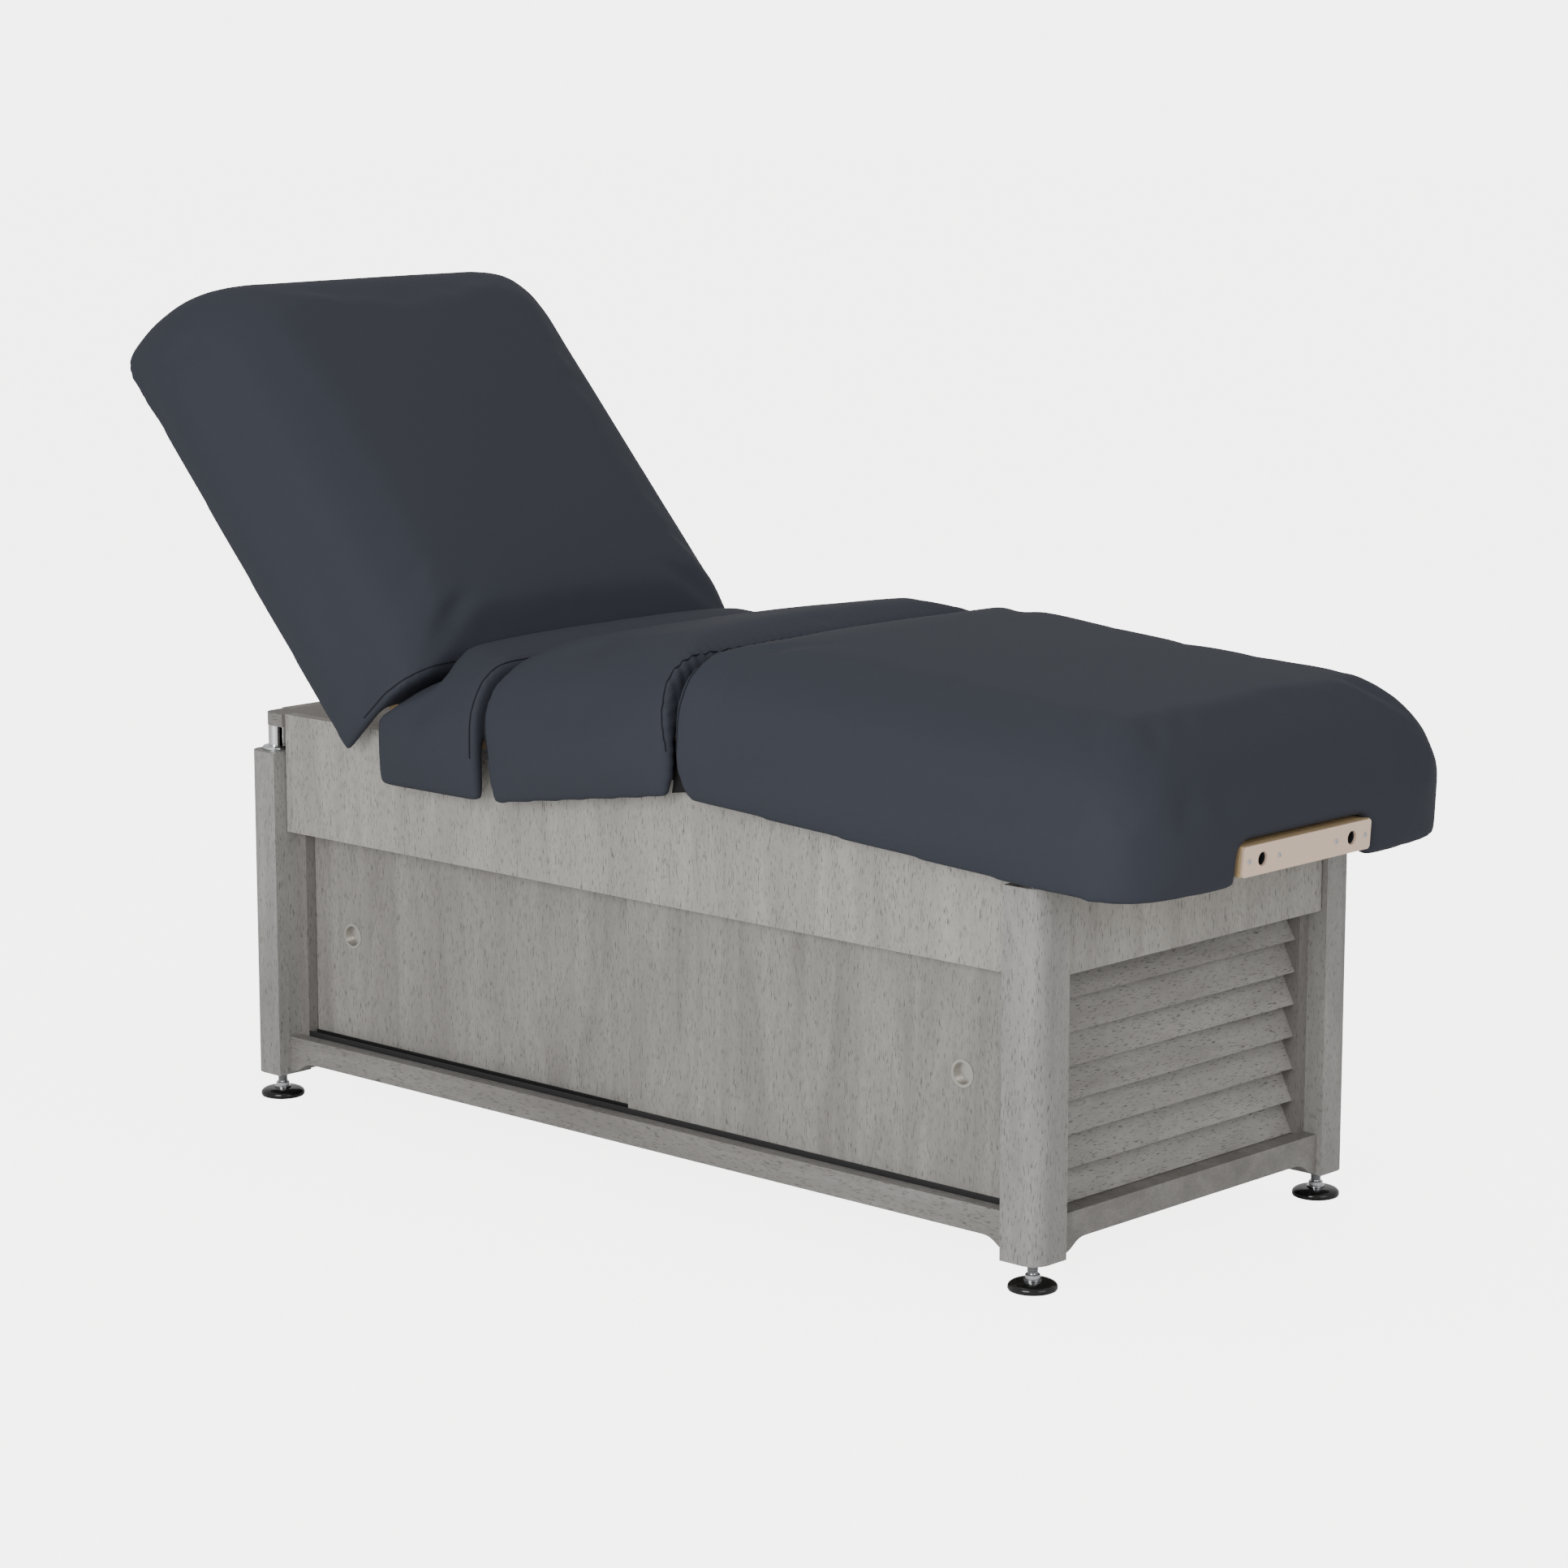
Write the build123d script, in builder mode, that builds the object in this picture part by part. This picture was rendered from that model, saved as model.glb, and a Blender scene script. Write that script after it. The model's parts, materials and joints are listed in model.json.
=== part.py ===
"""Powered treatment table: a four-post cabinet base, a lifting deck and a folding padded top.

Millimetres, +Z up. The origin is on the floor, midway between the four feet.
+X runs along the table towards the foot end, and the front long side faces -Y.
"""
from build123d import *
import os
from math import asin, cos, degrees, radians, sin

os.makedirs("parts", exist_ok=True)

# ------------------------------------------------------------------ driving sizes
# posts and the fixed frame
post_pitch_x = 1400.0       # post centre to post centre along the table
post_pitch_y = 580.0        # post centre to post centre across the table
post_side = 58.0
post_corner = 24.0          # rounding of a post's outer corner
post_recess = 21.0          # side rails and aprons lie this far inside the posts' outer faces
end_recess = 8.0            # the same at the ends
post_foot = 37.0            # floor to a post's underside
post_top = 504.0
rail_bottom = 57.0
rail_height = 35.0
rail_depth = 50.0
end_rail_setback = 1.0       # an end rail's inner face, past the posts' inner faces
bracket_run = 46.0          # the curved drop under each end of a bottom rail
bracket_edge = 4.0
inlet_y = 150.0             # the mains inlet on the head end's bottom rail
inlet_width = 27.0
inlet_height = 20.0
inlet_depth = 24.0
inlet_wall = 2.0
inlet_flange = 4.0
top_rail_bottom = 394.0
panel = 18.0                # thickness of aprons, stiles and the deck
cabinet_panel = 12.0
cabinet_top_panel = 11.0

# lifting deck
apron_bottom = 390.0
deck_top = 558.0
deck_corner_overhang = 14.0  # the deck's corners past the post centres
frame_gap = 2.0             # between the aprons' ends and the posts

# lift columns
rod_radius = 10.0
piston_radius = 13.0
piston_height = 24.0
column_wall = 3.0
running_gap = 0.05          # radial clearance of every shaft in its hole
rod_bottom = 150.0
column_bottom = 96.0
gland_height = 6.0
gland_radius = 19.0

# sliding doors
door_thickness = 12.0
door_gap = 3.0              # between the apron and a door, and between two doors
door_overlap = 20.0         # how far the two doors of a side overlap at mid-length
door_bottom = 96.0
door_top = 410.0
stile_width = 18.0
pull_radius = 16.0
pull_inset = 78.0           # a pull's centre to its door's outer edge
pull_height = 247.0
pull_depth = 9.0
pull_wall = 2.0
track_wall = 1.5
track_depth = 8.0
door_roof_gap = 1.5
channel_gap = 0.5           # sideways, between a door and its channel

# louvred ends
slat_count = 7
slat_thickness = 7.0
slat_lean = 25.0            # how far a slat's lower edge stands out from its upper edge
slat_lap = 6.0
louvre_setback = 7.0        # slat tips behind the frame's face

# levelling feet
foot_radius = 31.0
foot_dome = 13.0
stem_radius = 7.0
stem_length = 62.0
stem_collar_radius = 12.0
stem_collar_height = 8.0

# padded top
top_half_width = 350.0
skirt_wall = 29.0           # the pads' hanging sides
skirt_drop = 80.0           # from the hinge level down to a skirt's lower edge
pad_rise = 110.0            # from the hinge level up to a pad's top face
pad_side_radius = 95.0      # rounding over the sides and over the free ends
pad_joint_radius = 22.0
board_thickness = 18.0
board_below_hinge = 10.0    # from the hinge level down to a board's underside
board_half_width = 300.0
hinge_level = 572.0
hinge_radius = 5.0
hinge_pin_radius = 2.5
hinge_clear = 10.0          # from a hinge's axis to the nearest edge of a board
back_hinge_x = -414.0
knee_base_x = -216.0        # hinge between the seat and the thigh section
thigh_length = 356.0        # that hinge to the knee hinge
back_length = 705.0         # along the back pad from its lower end face
foot_reach = 195.0          # the outlet plate's face past the foot posts' centres, top level
back_rest_angle = 47.5      # from level
thigh_rest_angle = 8.7
leg_rest_angle = 3.6
back_top_angle = 60.0       # the backrest's steepest
thigh_top_angle = 16.0      # the thigh section's steepest
pad_gap_back = 6.0          # between the back pad and the seat pad when level
seat_overhang = 16.0        # the seat pad's reach past the back hinge
pad_gap_seat = 13.0         # between the seat pad and the thigh pad when level
pad_gap_knee = 5.0
knee_cut = 29.0             # how far both skirts are cut back under the knee
knee_cut_half = 7.0         # the same, part of the way up
knee_cut_top = 8.0          # the cut starts this far below the knee hinge
knee_cut_mid = 47.0
pad_clear = 1.5             # between pads where they pass each other
end_corner_back = 150.0     # plan rounding of the head end
end_corner_leg = 160.0      # plan rounding of the foot end

# backrest and knee drives under the deck
lever_length = 110.0
lever_thickness = 10.0
lever_y = 60.0              # the back drive is at -lever_y, the knee drive at +lever_y
back_lever_lead = 37.5      # angle of the back lever behind straight down, back level
knee_lever_lead = 8.0       # the same for the knee lever, thigh level
drive_pin_radius = 6.0
drive_pin_gap = 2.6         # the pin's clearance in the yoke's upright slot
drive_rod_radius = 8.0
drive_tube_radius = 17.0
drive_tube_wall = 3.0
drive_tube_length = 250.0
drive_level = 99.0          # the drives' rods lie this far below the hinge level
drive_end_gap = 12.0        # between a yoke at its innermost and its tube
drive_grip = 50.0           # rod left in its tube at full reach
drive_motor_radius = 22.0
drive_motor_length = 90.0
yoke_width = 30.0
yoke_thickness = 9.0
rod_clear = 0.5             # sideways, between a lever and its drive's rod
pin_stand_out = 3.0         # the pin's end past its yoke

# links that lift the leg section's foot end
link_length = 41.6
link_pin_level = 24.0       # below the hinge level when the top is level
link_reach = 500.0          # knee hinge to the link pin along the leg section
link_inset = 80.0           # a link's middle plane from the apron's inner face
link_width = 8.0
link_radius = 9.0
link_pin_radius = 5.0
link_open_radius = 10.0     # the leg bracket's open hole round the link pin

# face-cradle outlet at the foot end
outlet_half_width = 130.0
outlet_height = 38.0
outlet_thickness = 3.0
socket_radius = 8.0
socket_wall = 2.0
socket_length = 60.0
socket_spacing = 182.0
end_rail_low = 66.0         # the end rail's underside, below the hinge level
screw_radius = 3.5
screw_head = 1.6

# ------------------------------------------------------------------ derived places
half_x = post_pitch_x / 2
half_y = post_pitch_y / 2
post_in_x = half_x - post_side / 2
post_in_y = half_y - post_side / 2
face_x = half_x + post_side / 2 - end_recess
face_y = half_y + post_side / 2 - post_recess
rail_top = rail_bottom + rail_height
cabinet_roof = door_top + door_roof_gap + track_wall
leg_length = half_x + foot_reach - knee_base_x - thigh_length
link_y = face_y - panel - link_inset
yoke_offset = lever_thickness / 2 + rod_clear + drive_rod_radius
apron_half_x = post_in_x - frame_gap
apron_half_y = post_in_y - frame_gap
deck_bottom = deck_top - panel
corner_x = half_x + deck_corner_overhang
corner_y = half_y + deck_corner_overhang
column_radius = piston_radius + running_gap + column_wall
skirt_inner = top_half_width - skirt_wall
board_top = hinge_level - board_below_hinge + board_thickness
corners = [(sx, sy) for sx in (-1, 1) for sy in (-1, 1)]
corner_names = {(-1, -1): "head_front", (1, -1): "foot_front", (-1, 1): "head_back", (1, 1): "foot_back"}


def finish(part, name, color):
    """Label a finished piece, colour it and write its file."""
    part.label = name
    part.color = Color(*color)
    export_step(part, f"parts/{name}.step")


oak = (0.62, 0.61, 0.59)
oak_dark = (0.50, 0.49, 0.48)
chrome = (0.8, 0.8, 0.82)
steel = (0.6, 0.6, 0.62)
black = (0.1, 0.1, 0.1)
vinyl = (0.2, 0.22, 0.26)
plywood = (0.72, 0.62, 0.45)
copper_tint = (0.90, 0.80, 0.72)

# ------------------------------------------------------------------ corner posts and lift columns


def corner_post(sx, sy):
    """One oak post with its outer corner rounded, bored for the lift column and the foot's stem."""
    with BuildPart() as post:
        with BuildSketch(Plane.XY.offset(post_foot)):
            with Locations((sx * half_x, sy * half_y)):
                Rectangle(post_side, post_side)
        extrude(amount=post_top - post_foot)
        outer = post.edges().filter_by(Axis.Z).sort_by(lambda e: sx * e.center().X + sy * e.center().Y)[-1]
        fillet(outer, post_corner)
        with BuildSketch(Plane.XY.offset(column_bottom)):
            with Locations((sx * half_x, sy * half_y)):
                Circle(column_radius + running_gap)
        extrude(amount=post_top - column_bottom, mode=Mode.SUBTRACT)
        with BuildSketch(Plane.XY.offset(post_foot)):
            with Locations((sx * half_x, sy * half_y)):
                Circle(stem_radius + running_gap)
        extrude(amount=column_bottom - post_foot, mode=Mode.SUBTRACT)
    return post.part


for sx, sy in corners:
    finish(corner_post(sx, sy), f"corner_post_{corner_names[sx, sy]}", oak)

with BuildPart() as lift_columns:
    with BuildSketch(Plane.XY.offset(column_bottom)):
        with GridLocations(post_pitch_x, post_pitch_y, 2, 2):
            Circle(column_radius)
            Circle(piston_radius + running_gap, mode=Mode.SUBTRACT)
    extrude(amount=post_top - column_bottom)
finish(lift_columns.part, "lift_columns", steel)

with BuildPart() as lift_glands:
    with BuildSketch(Plane.XY.offset(post_top)):
        with GridLocations(post_pitch_x, post_pitch_y, 2, 2):
            Circle(gland_radius)
            Circle(rod_radius + running_gap, mode=Mode.SUBTRACT)
    extrude(amount=gland_height)
    chamfer(lift_glands.edges().group_by(Axis.Z)[-1].filter_by(lambda e: e.radius > rod_radius + 1), 2)
finish(lift_glands.part, "lift_glands", chrome)

with BuildPart() as lift_rods:
    with BuildSketch(Plane.XY.offset(rod_bottom)):
        with GridLocations(post_pitch_x, post_pitch_y, 2, 2):
            Circle(rod_radius)
    extrude(amount=deck_bottom - rod_bottom)
    with BuildSketch(Plane.XY.offset(rod_bottom)):
        with GridLocations(post_pitch_x, post_pitch_y, 2, 2):
            Circle(piston_radius)
    extrude(amount=piston_height)
finish(lift_rods.part, "lift_rods", chrome)

# ------------------------------------------------------------------ bottom rails with curved brackets


inlet_at = (inlet_y, rail_bottom + rail_height / 2)


def rail_face(half_span):
    """Outline of a bottom rail seen square on: a strip that drops in a curve to each post."""
    drop_from = half_span - bracket_run
    bend = half_span - bracket_run / 2
    low = post_foot + bracket_edge
    with BuildSketch() as face:
        with BuildLine():
            Polyline((half_span, low), (half_span, rail_top), (-half_span, rail_top), (-half_span, low))
            Bezier((-half_span, low), (-bend, low), (-bend, rail_bottom), (-drop_from, rail_bottom))
            Line((-drop_from, rail_bottom), (drop_from, rail_bottom))
            Bezier((drop_from, rail_bottom), (bend, rail_bottom), (bend, low), (half_span, low))
        make_face()
    return face.sketch


with BuildPart() as bottom_rails:
    for side in (-1, 1):
        with BuildSketch(Plane.XZ.offset(-side * face_y)):
            add(rail_face(post_in_x))
        extrude(amount=side * rail_depth)
        with BuildSketch(Plane.YZ.offset(side * face_x)):
            add(rail_face(post_in_y))
        extrude(amount=-side * (face_x - post_in_x - end_rail_setback))
    with BuildSketch(Plane.YZ.offset(-face_x)):
        with Locations(inlet_at):
            Rectangle(inlet_width, inlet_height)
    extrude(amount=inlet_depth, mode=Mode.SUBTRACT)
finish(bottom_rails.part, "bottom_rails", oak_dark)

with BuildPart() as power_inlet:
    with BuildSketch(Plane.YZ.offset(-face_x)):
        with Locations(inlet_at):
            Rectangle(inlet_width, inlet_height)
    extrude(amount=inlet_depth)
    with BuildSketch(Plane.YZ.offset(-face_x)):
        with Locations(inlet_at):
            RectangleRounded(inlet_width + 2 * inlet_flange, inlet_height + 2 * inlet_flange, 3)
    extrude(amount=-inlet_wall)
    with BuildSketch(Plane.YZ.offset(-face_x - inlet_wall)):
        with Locations(inlet_at):
            Rectangle(inlet_width - 2 * inlet_wall, inlet_height - 2 * inlet_wall)
    extrude(amount=inlet_depth, mode=Mode.SUBTRACT)
    with BuildSketch(Plane.YZ.offset(-face_x - inlet_wall + inlet_depth)):
        with Locations(*[(inlet_at[0] + dy, inlet_at[1] + dz) for dy, dz in ((-6, -2), (6, -2), (0, 3))]):
            Rectangle(4, 2)
    extrude(amount=-0.6 * inlet_depth)
finish(power_inlet.part, "power_inlet", black)

# ------------------------------------------------------------------ top rails, stiles, cabinet panels

front_door_face = face_y - panel - door_gap
rear_door_face = front_door_face - door_thickness - door_gap
door_back = rear_door_face - door_thickness
track_outer = front_door_face + track_wall
track_inner = door_back - track_wall
louvre_frame_x = face_x - panel - door_gap

louvre_stile_depth = louvre_frame_x - post_in_x - end_rail_setback

with BuildPart() as top_rails:
    for side in (-1, 1):
        with BuildSketch(Plane.XY.offset(cabinet_roof)):
            with Locations((0, side * (track_outer + track_inner) / 2)):
                Rectangle(2 * post_in_x, track_outer - track_inner)
        extrude(amount=cabinet_top_panel)
        with BuildSketch(Plane.XY.offset(top_rail_bottom)):
            with Locations((side * (louvre_frame_x - louvre_stile_depth / 2), 0)):
                Rectangle(louvre_stile_depth, 2 * post_in_y)
        extrude(amount=cabinet_roof + cabinet_top_panel - top_rail_bottom)
finish(top_rails.part, "top_rails", oak_dark)

with BuildPart() as door_stiles:
    with BuildSketch(Plane.XY.offset(rail_top)):
        for sx, sy in corners:
            with Locations((sx * (post_in_x - stile_width / 2), sy * (track_outer + track_inner) / 2)):
                Rectangle(stile_width, track_outer - track_inner)
    extrude(amount=cabinet_roof - rail_top)
finish(door_stiles.part, "door_stiles", oak_dark)

with BuildPart() as louvre_stiles:
    with BuildSketch(Plane.XY.offset(rail_top)):
        for sx, sy in corners:
            with Locations((sx * (louvre_frame_x - louvre_stile_depth / 2), sy * (post_in_y - stile_width / 2))):
                Rectangle(louvre_stile_depth, stile_width)
    extrude(amount=top_rail_bottom - rail_top)
finish(louvre_stiles.part, "louvre_stiles", oak_dark)

slat_pitch = (top_rail_bottom - rail_top - 2) / slat_count
slat_half = post_in_y - stile_width
slat_tip_x = louvre_frame_x - louvre_setback


with BuildPart() as louvre_slats:
    for side in (-1, 1):
        for i in range(slat_count):
            low = rail_top + 1 + i * slat_pitch
            high = low + slat_pitch + (slat_lap if i < slat_count - 1 else -1)
            with BuildSketch(Plane.XZ.offset(-slat_half)):
                with BuildLine():
                    Polyline(
                        (side * slat_tip_x, low),
                        (side * (slat_tip_x - slat_lean), high),
                        (side * (slat_tip_x - slat_lean - slat_thickness), high),
                        (side * (slat_tip_x - slat_thickness), low),
                        close=True,
                    )
                make_face()
            extrude(amount=2 * slat_half)
finish(louvre_slats.part, "louvre_slats", oak)

with BuildPart() as cabinet_floor:
    with BuildSketch(Plane.XY.offset(rail_bottom + 6)):
        Rectangle(2 * (post_in_x + end_rail_setback), 2 * (face_y - rail_depth))
    extrude(amount=cabinet_panel)
finish(cabinet_floor.part, "cabinet_floor", oak_dark)

with BuildPart() as cabinet_top:
    with BuildSketch(Plane.XY.offset(cabinet_roof)):
        Rectangle(2 * (louvre_frame_x - louvre_stile_depth), 2 * track_inner)
    extrude(amount=cabinet_top_panel)
finish(cabinet_top.part, "cabinet_top", oak_dark)

# ------------------------------------------------------------------ door tracks


with BuildPart() as door_tracks:
    for base_z, direction in ((rail_top, 1), (cabinet_roof, -1)):
        with BuildSketch(Plane.XY.offset(base_z)):
            for side in (-1, 1):
                with Locations((0, side * (track_outer + track_inner) / 2)):
                    Rectangle(2 * (post_in_x - stile_width), track_outer - track_inner)
        extrude(amount=direction * track_depth)
        with BuildSketch(Plane.XY.offset(base_z + direction * track_wall)):
            for side in (-1, 1):
                for face in (front_door_face, rear_door_face):
                    with Locations((0, side * (face - door_thickness / 2))):
                        Rectangle(2 * post_in_x, door_thickness + 2 * channel_gap)
        extrude(amount=direction * track_depth, mode=Mode.SUBTRACT)
finish(door_tracks.part, "door_tracks", black)

# ------------------------------------------------------------------ sliding doors and finger pulls

door_half = post_in_x - stile_width - 1


def door_slab(sy, face, x_low, x_high, pull_x):
    """One flat sliding door with a blind round hole for its finger cup."""
    plane = Plane.XZ.offset(face if sy < 0 else -face)
    inward = -1 if sy < 0 else 1
    with BuildPart() as door:
        with BuildSketch(plane):
            with Locations(((x_low + x_high) / 2, (door_bottom + door_top) / 2)):
                Rectangle(x_high - x_low, door_top - door_bottom)
        extrude(amount=inward * door_thickness)
        with BuildSketch(plane):
            with Locations((pull_x, pull_height)):
                Circle(pull_radius)
        extrude(amount=inward * pull_depth, mode=Mode.SUBTRACT)
    return door.part


def finger_cup(sy, face, pull_x):
    """A shallow round metal cup set into a door, with a low rim over the hole's edge."""
    plane = Plane.XZ.offset(face if sy < 0 else -face)
    inward = -1 if sy < 0 else 1
    with BuildPart() as cup:
        with BuildSketch(plane):
            with Locations((pull_x, pull_height)):
                Circle(pull_radius)
        extrude(amount=inward * pull_depth)
        with BuildSketch(plane):
            with Locations((pull_x, pull_height)):
                Circle(pull_radius + pull_wall)
        extrude(amount=-inward * pull_wall / 2)
        with BuildSketch(plane.offset(pull_wall / 2 * -inward)):
            with Locations((pull_x, pull_height)):
                Circle(pull_radius - pull_wall)
        extrude(amount=inward * (pull_depth - pull_wall + pull_wall / 2), mode=Mode.SUBTRACT)
    return cup.part


for sy, side_name in ((-1, "front"), (1, "back")):
    for sx, end_name, face in ((-1, "head", rear_door_face), (1, "foot", front_door_face)):
        edges = sorted((sx * door_half, -sx * door_overlap / 2))
        pull_at = sx * (door_half - pull_inset)
        finish(door_slab(sy, face, *edges, pull_at), f"door_{side_name}_{end_name}", oak)
        finish(finger_cup(sy, face, pull_at), f"pull_{side_name}_{end_name}", chrome)

# ------------------------------------------------------------------ levelling feet


def levelling_foot(sx, sy):
    """A domed glide and its collared screw stem, which turns into the post."""
    at = (sx * half_x, sy * half_y)
    with BuildPart() as foot:
        with BuildSketch(Plane(origin=(*at, 0), x_dir=(1, 0, 0), z_dir=(0, -1, 0))):
            with BuildLine():
                Line((0, 0), (foot_radius - 3, 0))
                Line((foot_radius - 3, 0), (foot_radius, 3))
                Line((foot_radius, 3), (foot_radius, 6))
                ThreePointArc((foot_radius, 6), (foot_radius * 0.62, foot_dome - 2), (stem_radius, foot_dome))
                Line((stem_radius, foot_dome), (0, foot_dome))
                Line((0, foot_dome), (0, 0))
            make_face()
        revolve(axis=Axis((*at, 0), (0, 0, 1)))
        with BuildSketch(Plane.XY.offset(foot_dome)):
            with Locations(at):
                Circle(stem_radius)
        extrude(amount=stem_length)
        with BuildSketch(Plane.XY.offset(foot_dome)):
            with Locations(at):
                RegularPolygon(stem_collar_radius, 6)
        extrude(amount=stem_collar_height)
    return foot.part


for sx, sy in corners:
    finish(levelling_foot(sx, sy), f"levelling_foot_{corner_names[sx, sy]}", black)

# ------------------------------------------------------------------ lifting deck

back_slot = (back_hinge_x - 92, back_hinge_x + 92)
knee_slot = (knee_base_x - 40, knee_base_x + 92)
link_pivot_x = knee_base_x + thigh_length + link_reach - link_length
link_slot = (link_pivot_x - link_radius - 6, link_pivot_x + link_length + link_open_radius + 16)
link_slot_half = 18.0

with BuildPart() as deck:
    with BuildSketch(Plane.XY.offset(deck_bottom)):
        Rectangle(2 * (face_x - panel), 2 * (face_y - panel))
        for sx, sy in corners:
            x_low, y_low = apron_half_x, apron_half_y
            with Locations((sx * (x_low + corner_x) / 2, sy * (y_low + corner_y) / 2)):
                Rectangle(corner_x - x_low, corner_y - y_low)
        for y_at, (low, high) in ((-lever_y, back_slot), (lever_y, knee_slot)):
            with Locations(((low + high) / 2, y_at)):
                Rectangle(high - low, lever_thickness + 8, mode=Mode.SUBTRACT)
        for sy in (-1, 1):
            with Locations(((link_slot[0] + link_slot[1]) / 2, sy * link_y)):
                Rectangle(link_slot[1] - link_slot[0], 2 * link_slot_half, mode=Mode.SUBTRACT)
    extrude(amount=panel)
    outer_corners = deck.edges().filter_by(Axis.Z).filter_by(
        lambda e: abs(e.center().X) > corner_x - 1 and abs(e.center().Y) > corner_y - 1)
    fillet(outer_corners, post_corner - 2)
finish(deck.part, "deck", oak)

with BuildPart() as aprons:
    with BuildSketch(Plane.XY.offset(apron_bottom)):
        for side in (-1, 1):
            with Locations((0, side * (face_y - panel / 2))):
                Rectangle(2 * apron_half_x, panel)
            with Locations((side * (face_x - panel / 2), 0)):
                Rectangle(panel, 2 * apron_half_y)
    extrude(amount=deck_top - apron_bottom)
finish(aprons.part, "aprons", oak)

# ------------------------------------------------------------------ padded top: section planes


class Section:
    """A hinged part of the top: its hinge, its direction along and its normal, all in the X-Z plane."""

    def __init__(self, hinge, angle, towards):
        self.hinge = Vector(hinge[0], 0, hinge[1])
        self.along = Vector(towards * cos(radians(angle)), 0, sin(radians(angle)))
        self.up = Vector(-towards * sin(radians(angle)), 0, cos(radians(angle)))
        self.towards = towards

    def at(self, a, n, y=0.0):
        """Point at distance a along and n above the hinge level."""
        return self.hinge + self.along * a + self.up * n + Vector(0, y, 0)

    def side(self, y=0.0):
        """Sketch plane seen from the side: x along, y up the section."""
        return Plane(origin=self.at(0, 0, y), x_dir=self.along, z_dir=(0, -self.towards, 0))

    def plan(self, n):
        """Sketch plane parallel to the board, n above the hinge level."""
        return Plane(origin=self.at(0, n), x_dir=self.along, z_dir=self.up)

    def end(self, a):
        """Sketch plane square across the section at distance a."""
        return Plane(origin=self.at(a, 0), x_dir=(0, 1, 0), z_dir=Vector(0, 1, 0).cross(self.up))


back = Section((back_hinge_x, hinge_level), back_rest_angle, -1)
thigh = Section((knee_base_x, hinge_level), thigh_rest_angle, 1)
knee_point = thigh.at(thigh_length, 0)
leg = Section((knee_point.X, knee_point.Z), -leg_rest_angle, 1)
seat = Section((back_hinge_x, hinge_level), 0, 1)


def pad(section, start, stop, start_radius, stop_radius=0.0, cuts=(), corner=0.0):
    """A pad: full width, rounded along its sides and over its ends, hollow under the skirt.

    start and stop are distances along the section and cuts are side outlines taken away. A
    corner makes the far end a free one: its plan is rounded, its top edge is rounded like the
    sides, and the skirt goes round it.
    """
    height = pad_rise + skirt_drop
    with BuildPart() as body:
        with BuildSketch(section.plan(-skirt_drop)) as plan_view:
            with Locations(((start + stop) / 2, 0)):
                Rectangle(stop - start, 2 * top_half_width)
            if corner:
                fillet(plan_view.vertices().group_by(Axis.X)[-1], corner)
        extrude(amount=height)
        top_edges = []
        for edge in body.edges():
            away = edge.center() - section.hinge
            place = away.dot(section.along)
            at_joint = abs(place - start) < 1 or (not corner and abs(place - stop) < 1)
            if abs(away.dot(section.up) - pad_rise) < 1 and not at_joint:
                top_edges.append(edge)
        fillet(top_edges, pad_side_radius)
        with BuildSketch(section.side()) as outline:
            with Locations(((start + stop) / 2, (pad_rise - skirt_drop) / 2)):
                Rectangle(stop - start, height)
            fillet(outline.vertices().group_by(Axis.Y)[-1].sort_by(Axis.X)[0], start_radius)
            if stop_radius:
                fillet(outline.vertices().group_by(Axis.X)[-1].sort_by(Axis.Y)[-1], stop_radius)
            for cut in cuts:
                with BuildLine():
                    Polyline(*cut, close=True)
                make_face(mode=Mode.SUBTRACT)
        extrude(amount=top_half_width, both=True, mode=Mode.INTERSECT)
        hollow_stop = stop - skirt_wall if corner else stop + 1
        with BuildSketch(section.plan(-skirt_drop - 1)) as hollow:
            with Locations(((start - 1 + hollow_stop) / 2, 0)):
                Rectangle(hollow_stop - start + 1, 2 * skirt_inner)
            if corner:
                fillet(hollow.vertices().group_by(Axis.X)[-1], corner - skirt_wall)
        extrude(amount=board_top - hinge_level + skirt_drop + 1, mode=Mode.SUBTRACT)
    return body.part


def board(section, start, stop, low, corner=0.0):
    """A plywood board across the section, from low up to the board's top, rounded like its pad."""
    high = board_top - hinge_level
    with BuildPart() as panel_board:
        with BuildSketch(section.plan(low)) as outline:
            with Locations(((start + stop) / 2, 0)):
                Rectangle(stop - start, 2 * board_half_width)
            if corner:
                fillet(outline.vertices().group_by(Axis.X)[-1], corner - skirt_wall)
        extrude(amount=high - low)
    return panel_board.part


# ------------------------------------------------------------------ padded top: pads and boards

back_start = pad_gap_back + seat_overhang
seat_start = -seat_overhang
seat_stop = knee_base_x - back_hinge_x - pad_gap_seat
back_stop = back_start + back_length
thigh_stop = thigh_length - pad_gap_knee / 2
leg_start = pad_gap_knee / 2
leg_stop = leg_length - outlet_thickness
board_high = board_top - hinge_level
board_low = -board_below_hinge


def turned(angle, a, n):
    """Side coordinates, seen from a level section, of a point of the back section at an angle."""
    c, s = cos(radians(angle)), sin(radians(angle))
    return (-a * c + n * s, a * s + n * c)


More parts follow.
